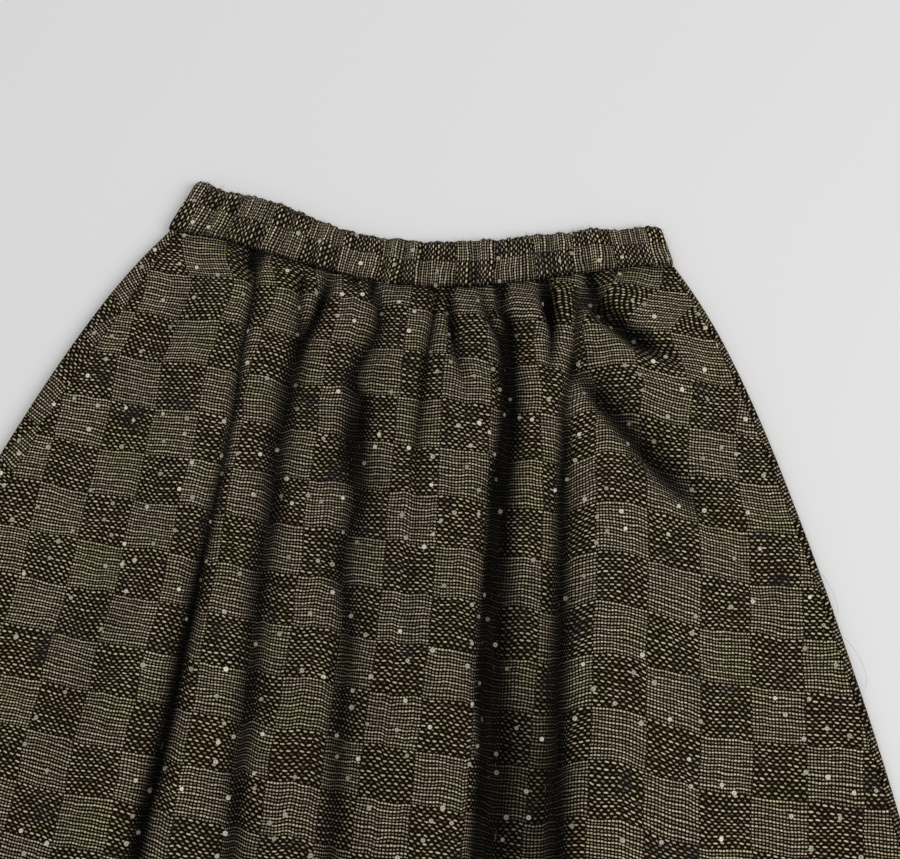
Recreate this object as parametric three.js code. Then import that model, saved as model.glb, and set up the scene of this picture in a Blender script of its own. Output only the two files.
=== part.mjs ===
// A gathered A-line midi skirt of thick checked tweed with an elastic waist, laid flat on a table.
// Millimetres. +X runs across the skirt, +Y from the hem to the waist, and +Z up from the table.
// The origin is on the table, under the middle of the skirt.
// Four pieces of cloth: the front and back panels, each with its hem turned up inside, and the front and
// back of the waistband, a casing over elastic. The back panel's edges roll over onto the front, as they lie.
// A place on the skirt is given by x and down: how far it is below the line between the waistband's lower corners.
import * as THREE from 'three';

// Driving dimensions
const CLOTH = 1.6;                  // thickness of the tweed
const SEAM_GAP = 0.3;               // between two pieces where they are sewn together
const LAYER_GAP = 0.6;              // between the front and the back where they touch
const WAIST_TO_ORIGIN = 340;
const WAIST_HALF = 165;             // half the waistband's width, lying flat
const SIDE_LENGTH = 664;            // down to the hem's corners
const CENTRE_LENGTH = 715;          // down to the hem at the centre
const HEM_TURN = 30;                // hem allowance turned up inside
const HEM_EXTRA = 1.2;              // what the pressed allowance adds to the cloth's thickness
const BAND_HEIGHT = 30;             // waistband, from its seam to its top fold, at the centre
const BAND_WALL = 3.6;              // casing and elastic together
const BAND_DIP = 26;                // how far the middle of the waist dips below its ends
const BAND_SLANT = 0.035;           // the top fold falls by this much for each millimetre to the right
const BAND_TOP = { left: -150, right: 156 };          // corners of the top fold
const SIDE_ROLL = 3.0;              // radius of the middle of the cloth, where a side rolls over
const SEAM_INSET = { left: 16, right: 5.5 };          // from the skirt's edges in to its side seams, on top

const HALF_CLOTH = CLOTH / 2;
const HALF_BAND = BAND_WALL / 2;
const ROLL_OUTER = SIDE_ROLL + HALF_CLOTH;
const BACK_LEVEL = HALF_CLOTH;                        // middle of the back panel, above the table
const SIDE_LEVEL = BACK_LEVEL + 2 * SIDE_ROLL;        // middle of the cloth at the side seams
const RESTING_LEVEL = 4.4;                            // middle of the front panel where it lies on the back
const BAND_FRONT_LEVEL = BAND_WALL + LAYER_GAP + HALF_BAND;
const BAND_SIDE_LEVEL = BAND_WALL + LAYER_GAP / 2;    // where front and back of the waistband meet at a side

// Half the width of the skirt
const OUTLINE = [
  { down: 0, half: 165 }, { down: 22, half: 181 }, { down: 50, half: 198 }, { down: 99, half: 222 },
  { down: 148, half: 242.5 }, { down: 218, half: 269 }, { down: 327, half: 305 }, { down: 500, half: 350 },
  { down: 664, half: 388 }, { down: 720, half: 400 },
];

// The middle of the skirt, which the gathers hold up: its ends, and the height of the middle of the cloth on its crests
const GATHERED = [
  { down: -40, left: -150, right: 150, height: 7.0 }, { down: 0, left: -140, right: 144, height: 7.2 },
  { down: 16, left: -134, right: 146, height: 9.4 }, { down: 45, left: -128, right: 150, height: 10.8 },
  { down: 110, left: -130, right: 156, height: 11.4 }, { down: 250, left: -142, right: 158, height: 11.6 },
  { down: 450, left: -160, right: 168, height: 11.6 }, { down: 720, left: -186, right: 190, height: 12.2 },
];

// Long folds that run from the gathers to the hem. Each row is one place on a fold: x, how far the cloth drops
// below the crests there, and half the width of the hollow.
const FOLDS = {
  left: [
    { down: 0, x: -103, drop: 1, width: 8 }, { down: 60, x: -107, drop: 2, width: 9 },
    { down: 130, x: -107, drop: 2.4, width: 10 }, { down: 200, x: -110, drop: 3.8, width: 11 },
    { down: 270, x: -113, drop: 6.2, width: 12 }, { down: 370, x: -120, drop: 7, width: 13 },
    { down: 700, x: -138, drop: 7, width: 19 },
  ],
  leftInner: [
    { down: 0, x: -52, drop: 3, width: 7 }, { down: 40, x: -59, drop: 5, width: 8 },
    { down: 80, x: -67, drop: 6, width: 10 }, { down: 140, x: -73, drop: 5.5, width: 11 },
    { down: 200, x: -73, drop: 4.4, width: 13 }, { down: 280, x: -74, drop: 4.2, width: 14 },
    { down: 370, x: -72, drop: 4.2, width: 15 }, { down: 700, x: -78, drop: 5.5, width: 20 },
  ],
  centre: [
    { down: 0, x: -27, drop: 2.5, width: 7 }, { down: 45, x: -22, drop: 3.6, width: 9 },
    { down: 82, x: -32, drop: 4, width: 10 }, { down: 115, x: -20, drop: 3.8, width: 10 },
    { down: 150, x: -28, drop: 3.4, width: 11 }, { down: 230, x: -17, drop: 3, width: 13 },
    { down: 370, x: -15, drop: 2.6, width: 15 }, { down: 700, x: -12, drop: 3.4, width: 20 },
  ],
  deep: [
    { down: 0, x: 50, drop: 3.4, width: 6 }, { down: 25, x: 55, drop: 5.5, width: 7 },
    { down: 55, x: 65, drop: 7, width: 8 }, { down: 100, x: 69, drop: 8, width: 9.5 },
    { down: 200, x: 67, drop: 7.4, width: 11 }, { down: 290, x: 71, drop: 5.6, width: 11 },
    { down: 370, x: 76, drop: 5, width: 11 }, { down: 700, x: 82, drop: 4.4, width: 16 },
  ],
  valley: [
    { down: 0, x: 82, drop: 0, width: 14 }, { down: 150, x: 88, drop: 0.6, width: 18 },
    { down: 250, x: 92, drop: 3.6, width: 21 }, { down: 370, x: 98, drop: 6, width: 23 },
    { down: 700, x: 106, drop: 6, width: 30 },
  ],
  right: [
    { down: 0, x: 82, drop: 3.6, width: 6 }, { down: 20, x: 85, drop: 5.5, width: 6.5 },
    { down: 57, x: 93, drop: 5.4, width: 7.5 }, { down: 100, x: 97, drop: 5.2, width: 8.5 },
    { down: 170, x: 109, drop: 5.6, width: 9.5 }, { down: 280, x: 114, drop: 4.4, width: 10 },
    { down: 370, x: 119, drop: 3.2, width: 11 }, { down: 700, x: 134, drop: 3, width: 17 },
  ],
};

// Gathers: short hollows that start at the waist seam at x and run down the cloth, leaning to one side
const GATHERS = [
  { x: -104, drop: 4.6, length: 34, lean: -5, width: 4.4 }, { x: -81, drop: 2.4, length: 30, lean: -2, width: 4 },
  { x: -68, drop: 2.6, length: 44, lean: -4, width: 4.2 }, { x: -41, drop: 3, length: 40, lean: -2, width: 4.4 },
  { x: -11, drop: 2.4, length: 34, lean: 0, width: 4.4 }, { x: 11, drop: 3.2, length: 92, lean: 0, width: 5 },
  { x: 22, drop: 2.8, length: 74, lean: 10, width: 4.4 }, { x: 37, drop: 3, length: 46, lean: 3, width: 4.4 },
  { x: 67, drop: 1.8, length: 26, lean: 2, width: 4 }, { x: 102, drop: 3, length: 34, lean: 3, width: 4.4 },
  { x: 116, drop: 2.4, length: 30, lean: 6, width: 4 }, { x: 129, drop: 2, length: 26, lean: 4, width: 4 },
];

// Slanting drag lines, where the gathers pull across the cloth: from one place to another, deepest halfway
const DRAGS = [
  { fromX: 106, fromDown: 14, toX: 178, toDown: 68, drop: 5, width: 8 },
  { fromX: 112, fromDown: 68, toX: 196, toDown: 172, drop: 4.4, width: 9 },
  { fromX: -128, fromDown: 10, toX: -176, toDown: 96, drop: 1.6, width: 12 },
  { fromX: -44, fromDown: 95, toX: -4, toDown: 175, drop: 1.6, width: 9 },
];

// Soft troughs on the underside, where the back panel lifts off the table
const BACK_LIFTS = [
  { waistX: -118, hemX: -172, rise: 1.5, width: 30 }, { waistX: -46, hemX: -52, rise: 1.4, width: 24 },
  { waistX: 38, hemX: 44, rise: 1.3, width: 24 }, { waistX: 124, hemX: 190, rise: 1.6, width: 34 },
];
const BACK_GATHERS = 13;            // gathers across the back, at the waist
const BACK_GATHER_RISE = 1.8;
const BACK_GATHER_LENGTH = 90;
const BAND_RIPPLES = 20;            // gathers across the waistband
const BAND_RIPPLE = 0.55;

const { lerp } = THREE.MathUtils;

/** 0 below low, 1 above high, with a smooth rise between. */
function ramp(low, high, at) {
  const t = Math.min(1, Math.max(0, (at - low) / (high - low)));
  return t * t * (3 - 2 * t);
}

/** A hollow's profile: 1 in its middle, falling smoothly towards 0. */
const bell = (distance, width) => Math.exp(-((distance / width) ** 2));

/** A profile that is 1 in its middle and exactly 0 from width on. */
const mound = (distance, width) => Math.max(0, 1 - (distance / width) ** 2) ** 2;

/** A column of a table at a distance down, on a smooth curve through its rows that doesn't overshoot. */
function lookUp(table, column, down) {
  const last = table.length - 1;
  if (down <= table[0].down) return table[0][column];
  if (down >= table[last].down) return table[last][column];
  let i = 0;
  while (down > table[i + 1].down) i += 1;
  const slope = (k) => (table[k + 1][column] - table[k][column]) / (table[k + 1].down - table[k].down);
  const tangent = (k) => {
    if (k === 0) return slope(0);
    if (k === last) return slope(last - 1);
    const [before, after] = [slope(k - 1), slope(k)];
    return before * after <= 0 ? 0 : (2 * before * after) / (before + after);
  };
  const step = table[i + 1].down - table[i].down;
  const t = (down - table[i].down) / step;
  const fromRows = table[i][column] * (1 + 2 * t) * (1 - t) ** 2 + table[i + 1][column] * t * t * (3 - 2 * t);
  return fromRows + step * (tangent(i) * t * (1 - t) ** 2 - tangent(i + 1) * t * t * (1 - t));
}

const halfWidth = (down) => lookUp(OUTLINE, 'half', down);

/** How far a side seam lies in from the skirt's edge: it starts on the roll, and reaches its inset lower down. */
const seamInset = (inset, down) => ROLL_OUTER + (inset - ROLL_OUTER) * ramp(-20, 60, down);

const seamAtLeft = (down) => seamInset(SEAM_INSET.left, down) - halfWidth(down);
const seamAtRight = (down) => halfWidth(down) - seamInset(SEAM_INSET.right, down);

/** How far down the waist seam lies at x: it dips in the middle. */
const waistDown = (x) => BAND_DIP * Math.max(0, 1 - (x / WAIST_HALF) ** 2) ** 2;

/** How far down the hem lies at x: its corners are higher than its middle. */
const hemDown = (x) => CENTRE_LENGTH - (CENTRE_LENGTH - SIDE_LENGTH) * (x / halfWidth(SIDE_LENGTH)) ** 2;

/** Drop of the front cloth below its crests at a place. */
function frontDrop(x, down) {
  let drop = 0;
  for (const fold of Object.values(FOLDS)) {
    drop += lookUp(fold, 'drop', down) * bell(x - lookUp(fold, 'x', down), lookUp(fold, 'width', down));
  }
  for (const gather of GATHERS) {
    const along = Math.min(1, Math.max(0, (down - waistDown(gather.x)) / gather.length));
    const fade = (1 - along) ** 2 * (1 + 2 * along);
    drop += gather.drop * fade * bell(x - gather.x - gather.lean * along, gather.width * (1 + along / 2));
  }
  for (const drag of DRAGS) {
    const run = new THREE.Vector2(drag.toX - drag.fromX, drag.toDown - drag.fromDown);
    const place = new THREE.Vector2(x - drag.fromX, down - drag.fromDown);
    const along = Math.min(1, Math.max(0, place.dot(run) / run.lengthSq()));
    drop += drag.drop * Math.sin(Math.PI * along) ** 2 * bell(place.cross(run) / run.length(), drag.width);
  }
  return drop;
}

/** Height of the middle of the back panel above the table, apart from its rolled sides. */
function backHeight(x, down) {
  const below = Math.max(0, down - waistDown(x));
  const wave = 0.5 - 0.5 * Math.cos((x / WAIST_HALF + 1) * BACK_GATHERS * Math.PI);
  let rise = BACK_GATHER_RISE * wave * mound(below, BACK_GATHER_LENGTH);
  for (const lift of BACK_LIFTS) {
    const share = below / CENTRE_LENGTH;
    const fade = ramp(0, 0.12, share) * ramp(0.9, 0.5, share);
    rise += lift.rise * fade * mound(x - lerp(lift.waistX, lift.hemX, share), lift.width);
  }
  const fromSide = halfWidth(down) - ROLL_OUTER - Math.abs(x);
  return BACK_LEVEL + rise * ramp(0, 30, fromSide);
}

/** Height of the middle of the front cloth: level with its side seams at the sides, and never in the back panel. */
function frontHeight(x, down) {
  const below = down - waistDown(x);
  const resting = lerp(SIDE_LEVEL, RESTING_LEVEL, ramp(10, 100, below));
  const inGathered = Math.min(x - lookUp(GATHERED, 'left', below), lookUp(GATHERED, 'right', below) - x);
  const fromSeam = Math.min(x - seamAtLeft(down), seamAtRight(down) - x);
  const crest = resting
    + (lookUp(GATHERED, 'height', below) - resting) * ramp(-50, 20, inGathered) * ramp(0, 45, fromSeam)
    + (SIDE_LEVEL - resting) * (1 - ramp(0, 50, fromSeam));
  const drop = frontDrop(x, down) * ramp(0, 26, fromSeam) * (0.3 + 0.7 * ramp(0, 22, below));
  const hemLayers = 2 * HEM_EXTRA * ramp(hemDown(x) - 4 * HEM_TURN, hemDown(x) - HEM_TURN, down);
  const floor = backHeight(x, down) + CLOTH + LAYER_GAP + hemLayers;
  const softness = 0.5;
  return floor + softness * Math.log1p(Math.exp((crest - drop - floor) / softness));
}

const toPoint = (x, down, z) => new THREE.Vector3(x, WAIST_TO_ORIGIN - down, z);

// Where across the front panel its stretches end, as shares of its width, and the x of the inner two at waist and
// hem: its columns lie closest over the folds
const FRONT_STRETCHES = [-1, -0.8, 0.8, 1];
const FOLDED_ZONE = [{ waist: -118, hem: -158 }, { waist: 140, hem: 172 }];

/** Middle of the front panel. u runs from -1 at the left side seam to 1 at the right one, and t from waist to hem. */
function frontPanel(u, t) {
  const xAt = (down) => {
    const share = down / CENTRE_LENGTH;
    const ends = [
      seamAtLeft(down) + SEAM_GAP / 2, ...FOLDED_ZONE.map(({ waist, hem }) => lerp(waist, hem, share)),
      seamAtRight(down) - SEAM_GAP / 2,
    ];
    const k = u < FRONT_STRETCHES[1] ? 0 : u > FRONT_STRETCHES[2] ? 2 : 1;
    return lerp(ends[k], ends[k + 1], (u - FRONT_STRETCHES[k]) / (FRONT_STRETCHES[k + 1] - FRONT_STRETCHES[k]));
  };
  const down = lerp(waistDown(xAt(0)) + SEAM_GAP, hemDown(xAt(SIDE_LENGTH)), t);
  const x = xAt(down);
  return toPoint(x, down, frontHeight(x, down));
}

// Where round the back panel its stretches end: the strip on top at the left, the left roll, the part on the
// table, the right roll, and the strip on top at the right
const BACK_STRETCHES = [0, 0.05, 0.15, 0.85, 0.95, 1];

/** Place across and height of the middle of the back panel. s runs from 0 at the left side seam to 1 at the right. */
function backSection(s, down) {
  const [start, leftTop, leftLow, rightLow, rightTop, end] = BACK_STRETCHES;
  const centre = halfWidth(down) - ROLL_OUTER;
  const share = (from, to) => (s - from) / (to - from);
  if (s < leftTop) return [lerp(seamAtLeft(down) - SEAM_GAP / 2, -centre, share(start, leftTop)), SIDE_LEVEL];
  if (s > rightTop) return [lerp(centre, seamAtRight(down) + SEAM_GAP / 2, share(rightTop, end)), SIDE_LEVEL];
  if (s > leftLow && s < rightLow) {
    const x = lerp(-centre, centre, share(leftLow, rightLow));
    return [x, backHeight(x, down)];
  }
  const side = s < 0.5 ? -1 : 1;
  const turn = Math.PI * (side < 0 ? share(leftTop, leftLow) : share(rightTop, rightLow));
  return [side * (centre + SIDE_ROLL * Math.sin(turn)), BACK_LEVEL + SIDE_ROLL * (1 + Math.cos(turn))];
}

/** Middle of the back panel. s runs from 0 to 1 as above, under the skirt, and t from waist to hem. */
function backPanel(s, t) {
  const top = waistDown(backSection(s, 0)[0]) + SEAM_GAP;
  const down = lerp(top, hemDown(backSection(s, SIDE_LENGTH)[0]), t);
  const [x, z] = backSection(s, down);
  return toPoint(x, down, z);
}

/** Gathers across the waistband, uneven as elastic pulls them, between -1 and 1. */
function bandWave(u, h) {
  const even = Math.cos(BAND_RIPPLES * Math.PI * u + 1.1 * Math.sin(5 * u) + 0.9 * h);
  const uneven = Math.cos(1.37 * BAND_RIPPLES * Math.PI * u + 2.2 - 0.8 * h);
  return 0.6 * even + 0.4 * uneven;
}

const BAND_CORNER = 0.97;           // share of the waistband's half width where it starts to round its side

/** One half of the waistband. u runs across it, round its sides past the corners, and h from its seam to its fold. */
function waistband(level, sideLevel, rise) {
  const radius = Math.abs(level - sideLevel);
  const inset = HALF_BAND + radius;
  return (u, h) => {
    const across = Math.min(1, Math.abs(u) / BAND_CORNER) * Math.sign(u);
    const turn = (Math.PI / 2) * (Math.max(0, Math.abs(u) - BAND_CORNER) / (1 - BAND_CORNER));
    const seamX = across * (WAIST_HALF - inset);
    const topX = across * (across < 0 ? -BAND_TOP.left - inset : BAND_TOP.right - inset);
    const topDown = waistDown(topX) + BAND_SLANT * topX - BAND_HEIGHT - rise(topX) - BAND_RIPPLE * bandWave(u, 1);
    const x = lerp(seamX, topX, h) + Math.sign(u) * radius * Math.sin(turn);
    return toPoint(x, lerp(waistDown(seamX), topDown, h), sideLevel + (level - sideLevel) * Math.cos(turn));
  };
}

/** Unit normal of a surface of (u, t), from small steps to each side. */
function normalOf(surface, u, t) {
  const step = 1e-4;
  const across = surface(u + step, t).sub(surface(u - step, t));
  const downward = surface(u, t + step).sub(surface(u, t - step));
  return downward.cross(across).normalize();
}

/** Closed wall of cloth round a middle surface, on a grid of columns and rows. thickness gives [outside, inside]. */
function wall(surface, columns, rows, thickness) {
  const count = columns.length * rows.length;
  const positions = new Float32Array(count * 2 * 3);
  rows.forEach((t, r) => columns.forEach((u, c) => {
    const place = r * columns.length + c;
    const [outside, inside] = thickness(u, t);
    const middle = surface(u, t);
    const normal = normalOf(surface, u, t);
    middle.clone().addScaledVector(normal, outside).toArray(positions, place * 3);
    middle.clone().addScaledVector(normal, -inside).toArray(positions, (count + place) * 3);
  }));
  const faces = [];
  const quad = (a, b, c, d) => faces.push(a, b, c, a, c, d);
  const at = (r, c) => r * columns.length + c;
  const [lastRow, lastColumn] = [rows.length - 1, columns.length - 1];
  for (let r = 0; r < lastRow; r += 1) {
    for (let c = 0; c < lastColumn; c += 1) {
      quad(at(r, c), at(r + 1, c), at(r + 1, c + 1), at(r, c + 1));
      quad(count + at(r, c), count + at(r, c + 1), count + at(r + 1, c + 1), count + at(r + 1, c));
    }
  }
  const rim = (a, b) => quad(a, b, count + b, count + a);
  for (let c = 0; c < lastColumn; c += 1) {
    rim(at(0, c), at(0, c + 1));
    rim(at(lastRow, c + 1), at(lastRow, c));
  }
  for (let r = 0; r < lastRow; r += 1) {
    rim(at(r + 1, 0), at(r, 0));
    rim(at(r, lastColumn), at(r + 1, lastColumn));
  }
  const geometry = new THREE.BufferGeometry();
  geometry.setAttribute('position', new THREE.BufferAttribute(positions, 3));
  geometry.setIndex(faces);
  geometry.computeVertexNormals();
  return geometry;
}

/** Columns over several stretches, each split into its own number of even steps. */
function stretches(ends, counts) {
  const columns = [ends[0]];
  counts.forEach((count, k) => {
    for (let step = 1; step <= count; step += 1) columns.push(lerp(ends[k], ends[k + 1], step / count));
  });
  return columns;
}

function piece(name, geometry) {
  const tweed = new THREE.MeshStandardMaterial({ color: 0x3f382c, roughness: 0.92, metalness: 0 });
  const mesh = new THREE.Mesh(geometry, tweed);
  mesh.name = name;
  return mesh;
}

// Rows of both panels, as shares of the way from waist to hem. The last rows hold the step of the hem's allowance.
const HEM_TOP = 1 - HEM_TURN / CENTRE_LENGTH;
const PANEL_ROWS = [
  0, 0.012, 0.028, 0.048, 0.075, 0.11, 0.155, 0.21, 0.28, 0.37, 0.47, 0.58, 0.7, 0.82, 0.9, HEM_TOP - 0.004, HEM_TOP, 1,
];
const panelThickness = (_, t) => [HALF_CLOTH, HALF_CLOTH + (t >= HEM_TOP ? HEM_EXTRA : 0)];

function buildFrontPanel() {
  const columns = stretches(FRONT_STRETCHES, [8, 72, 7]);
  return piece('front_panel', wall(frontPanel, columns, PANEL_ROWS, panelThickness));
}

function buildBackPanel() {
  const columns = stretches(BACK_STRETCHES, [2, 5, 44, 5, 1]);
  const fromRight = (s, t) => backPanel(1 - s, t);            // so that its outside faces down
  return piece('back_panel', wall(fromRight, columns, PANEL_ROWS, panelThickness));
}

const BAND_ROWS = [0, 0.1, 0.35, 0.65, 0.9, 1];
const BAND_ENDS = [-1, -BAND_CORNER, BAND_CORNER, 1];
const bandEdge = (h) => 0.55 + 0.45 * ramp(0, 0.1, Math.min(h, 1 - h));     // thinner along its fold and seam

function buildWaistbandFront() {
  const half = waistband(BAND_FRONT_LEVEL, BAND_SIDE_LEVEL + SEAM_GAP / 2, () => 0);
  const fromTop = (u, h) => half(u, 1 - h);                   // so that its outside faces up
  const thickness = (u, h) => {
    const gather = BAND_RIPPLE * (bandWave(u, h) - 1) * ramp(1, 0.93, Math.abs(u));
    return [(HALF_BAND + gather) * bandEdge(h), HALF_BAND * bandEdge(h)];
  };
  return piece('waistband_front', wall(fromTop, stretches(BAND_ENDS, [3, 60, 3]), BAND_ROWS, thickness));
}

function buildWaistbandBack() {
  const showing = (x) => 3.8 * bell(x + 10, 14) - 1;          // it shows above the front only in the middle
  const half = waistband(HALF_BAND, BAND_SIDE_LEVEL - SEAM_GAP / 2, showing);
  const thickness = (u, h) => [HALF_BAND * bandEdge(h), HALF_BAND * bandEdge(h)];
  return piece('waistband_back', wall(half, stretches(BAND_ENDS, [3, 44, 3]), BAND_ROWS, thickness));
}

const skirt = new THREE.Group();
skirt.add(buildFrontPanel(), buildBackPanel(), buildWaistbandFront(), buildWaistbandBack());

export default skirt;
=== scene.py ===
"""Midi skirt of thick checked tweed with an elastic waist, laid flat on a pale studio floor.

Lengths in the tables and shape functions are millimetres, and meshes are made in metres.
A place on the skirt is x, to the right, and down, below the line between the waistband's lower corners.
"""
import math

import bpy
import numpy as np
from mathutils import Matrix, Vector


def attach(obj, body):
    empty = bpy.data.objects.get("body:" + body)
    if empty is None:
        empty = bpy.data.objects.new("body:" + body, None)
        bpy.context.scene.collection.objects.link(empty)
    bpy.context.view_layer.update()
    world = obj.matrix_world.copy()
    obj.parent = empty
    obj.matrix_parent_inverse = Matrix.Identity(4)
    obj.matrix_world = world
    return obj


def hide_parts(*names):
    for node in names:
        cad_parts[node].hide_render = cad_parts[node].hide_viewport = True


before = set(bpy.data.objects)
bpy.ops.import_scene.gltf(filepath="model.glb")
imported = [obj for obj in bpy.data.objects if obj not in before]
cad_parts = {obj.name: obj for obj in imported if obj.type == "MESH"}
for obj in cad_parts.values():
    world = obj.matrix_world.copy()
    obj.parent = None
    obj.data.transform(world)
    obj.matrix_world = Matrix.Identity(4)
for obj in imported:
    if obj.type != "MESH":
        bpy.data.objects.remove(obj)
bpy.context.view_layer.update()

bl_info = {
    "name": "Tweed midi skirt",
    "version": (1, 0, 0),
    "blender": (4, 5, 0),
    "location": "View3D > Sidebar > Skirt",
    "description": "Builds a gathered tweed midi skirt, laid flat, piece by piece",
    "category": "Object",
}

MM = 0.001

# The cut and the lie of the skirt, as in the frame's solids
CLOTH = 1.6
SEAM_GAP = 0.3
LAYER_GAP = 0.6
WAIST_TO_ORIGIN = 340
WAIST_HALF = 165
SIDE_LENGTH = 664
CENTRE_LENGTH = 715
HEM_TURN = 30
HEM_EXTRA = 1.2
BAND_HEIGHT = 30
BAND_WALL = 3.6
BAND_DIP = 26
BAND_SLANT = 0.035
BAND_TOP_LEFT = -152
BAND_TOP_RIGHT = 156
# How far the front's top fold stands above its even line, at places across it
BAND_BUMPS = {
    "x": (
        -150, -139, -129, -119, -98, -88, -78, -66, -48, -37, -7,
        13, 34, 46, 54, 66, 77, 95, 108, 116, 125, 146, 156,
    ),
    "rise": (
        3.4, 0.2, -0.6, 1.2, 2.8, 2.6, 1.4, 0, -1.3, -1.3, -0.6,
        1.4, 2.6, 3.4, 2.2, 4, 4, 2.8, 4, 3.8, 0.9, 2.6, 4,
    ),
}
SIDE_ROLL = 3.0
SEAM_INSET_LEFT = 16
SEAM_INSET_RIGHT = 5.5

HALF_CLOTH = CLOTH / 2
HALF_BAND = BAND_WALL / 2
ROLL_OUTER = SIDE_ROLL + HALF_CLOTH
BACK_LEVEL = HALF_CLOTH
SIDE_LEVEL = BACK_LEVEL + 2 * SIDE_ROLL
RESTING_LEVEL = 4.4
BAND_FRONT_LEVEL = BAND_WALL + LAYER_GAP + HALF_BAND
BAND_SIDE_LEVEL = BAND_WALL + LAYER_GAP / 2

OUTLINE = {
    "down": (0, 22, 50, 99, 148, 218, 327, 500, 664, 720),
    "half": (165, 181, 198, 222, 242.5, 269, 305, 350, 388, 400),
}
GATHERED = {
    "down": (-40, 0, 16, 45, 110, 250, 450, 720),
    "left": (-150, -140, -134, -128, -130, -142, -160, -186),
    "right": (150, 146, 164, 182, 196, 192, 184, 190),
    "height": (7.0, 7.4, 11.4, 13.8, 14.6, 14.8, 14.8, 15.2),
}
FULL_DEPTH = 11.5             # from the highest crests down to the back
WAIST_DIVE = 2.2              # how far the front sinks where it goes in under the waistband
CREASE_SOFTNESS = 0.5
# How much painted shade darkens the cloth where it has sunk to the back, in a tuck and in the gathered middle
FOLD_SHADE = 0.46
TUCK_SHADE = 0.42
MIDDLE_SHADE = 0.04
# And how much painted shade darkens the back where it turns round its rolls, and at the skirt's two sides
ROLL_SHADE = 0.13
LEFT_SHADE = 0.02
RIGHT_SHADE = 0.06

# Folds: x, drop below the crests and width of the groove, at places down the skirt
FOLDS = {
    "left": {
        "down": (0, 40, 80, 120, 178, 216, 253, 334, 373, 700),
        "x": (-106, -103, -104, -104, -107, -110, -112, -117, -121, -138),
        "drop": (5, 6, 6.5, 6.5, 7.5, 9, 10.5, 11.5, 12, 12),
        "width": (3, 3.2, 3.6, 4, 4.6, 5, 5.4, 6, 6.4, 9),
    },
    "left fork": {
        "down": (0, 30, 60, 90),
        "x": (-72, -73, -71, -70),
        "drop": (3, 6, 5, 0),
        "width": (3, 3.4, 3.4, 3.4),
    },
    "left inner": {
        "down": (0, 31, 45, 59, 77, 97, 117, 144, 175, 213, 249, 290, 330, 370, 700),
        "x": (-54, -56, -58, -62, -68, -71, -72, -74, -72, -73, -72, -70, -71, -68, -74),
        "drop": (4, 6, 7, 8, 9, 9.5, 9.5, 9.5, 9.3, 9, 9, 8.8, 8.6, 8.6, 8),
        "width": (3.4, 4, 4.6, 6, 8, 10, 10.5, 11, 11, 11.5, 11.5, 12, 12, 12, 14),
    },
    "centre": {
        "down": (0, 29, 42, 56, 73, 94, 113, 140, 171, 209, 244, 285, 325, 363, 700),
        "x": (-30, -27, -22, -20, -25, -32, -24, -27, -20, -25, -17, -15, -14, -12, -8),
        "drop": (3, 6, 8, 8.5, 8.5, 9, 9.5, 9.5, 9, 8.4, 8.6, 8.6, 8.4, 8, 7),
        "width": (3, 3.6, 4.6, 6, 8.4, 10, 10.5, 11, 11, 11, 11, 12, 12, 12, 14),
    },
    "fine": {
        "down": (20, 53, 90, 136, 168, 205, 241, 280),
        "x": (15, 14, 12, 12, 15, 16, 18, 18),
        "drop": (6, 6.6, 6.2, 5, 3, 2.4, 2, 0),
        "width": (2.8, 3.2, 3.6, 4.2, 4.6, 5, 5, 5),
    },
    "short": {
        "down": (10, 28, 52, 69, 88, 105),
        "x": (20, 21, 26, 30, 36, 40),
        "drop": (3, 7, 7.5, 6.5, 3, 0),
        "width": (2.8, 3, 3.4, 3.4, 3.4, 3),
    },
    "deep fork": {
        "down": (10, 23, 37, 50, 63, 75),
        "x": (40, 42, 46, 51, 60, 64),
        "drop": (4, 7, 7, 6, 4, 0),
        "width": (2.8, 3.2, 3.4, 3.4, 3, 3),
    },
    "deep": {
        "down": (0, 22, 36, 49, 66, 86, 106, 163, 236, 277, 316, 354, 700),
        "x": (49, 51, 55, 62, 63, 65, 67, 65, 65.5, 67.5, 72, 72.5, 80),
        "drop": (7, 10, 9, 11, 13, 14, 14, 14, 14, 14, 14, 14, 12),
        "width": (3.4, 3.8, 4.4, 5, 6, 6.6, 6.8, 8, 9.4, 10.4, 11.2, 11.4, 12),
        "skew": (0, 0, 0, 0, 0, 0.1, 0.15, 0.25, 0.4, 0.4, 0.4, 0.4, 0.3),
    },
    "valley": {
        "down": (0, 150, 250, 370, 700),
        "x": (82, 88, 92, 98, 106),
        "drop": (0, 0.6, 1.5, 2, 2),
        "width": (8, 10, 12, 14, 20),
    },
    "twin": {
        "down": (0, 20, 33, 47, 64, 84, 105),
        "x": (80, 81, 85.5, 89.5, 90.5, 90, 92),
        "drop": (6, 9.5, 10.5, 9, 6, 3, 0),
        "width": (2.8, 3, 3.2, 3.4, 3.4, 3.4, 3.4),
    },
    "right": {
        "down": (0, 18, 32, 46, 62, 83, 103, 129, 160, 197, 233, 273, 313, 351, 700),
        "x": (106, 106, 105, 105, 105, 103, 101, 103, 104, 106, 108, 109.5, 111.5, 113.5, 128),
        "drop": (4, 6, 6.5, 5.5, 5, 5.5, 7, 8.6, 9, 9, 9.2, 9.2, 9.2, 9.2, 8),
        "width": (3, 3.4, 3.4, 3.6, 4, 4.6, 5.4, 6.2, 7, 7.6, 8, 8.4, 9, 9.4, 12),
    },
}
GATHERS = {
    "x": (-88, -41, -11, 3, 33, 68, 94, 118, 131, -122),
    "drop": (2.4, 3, 2.6, 2.4, 2.6, 2.4, 2.2, 3, 2.4, 2),
    "length": (30, 34, 36, 40, 40, 30, 26, 34, 28, 26),
    "lean": (-2, -2, 0, 0, 3, 2, 2, 6, 5, -3),
    "width": (4, 4.4, 4.4, 4, 4.4, 4, 4, 4, 4, 4),
}
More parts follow.
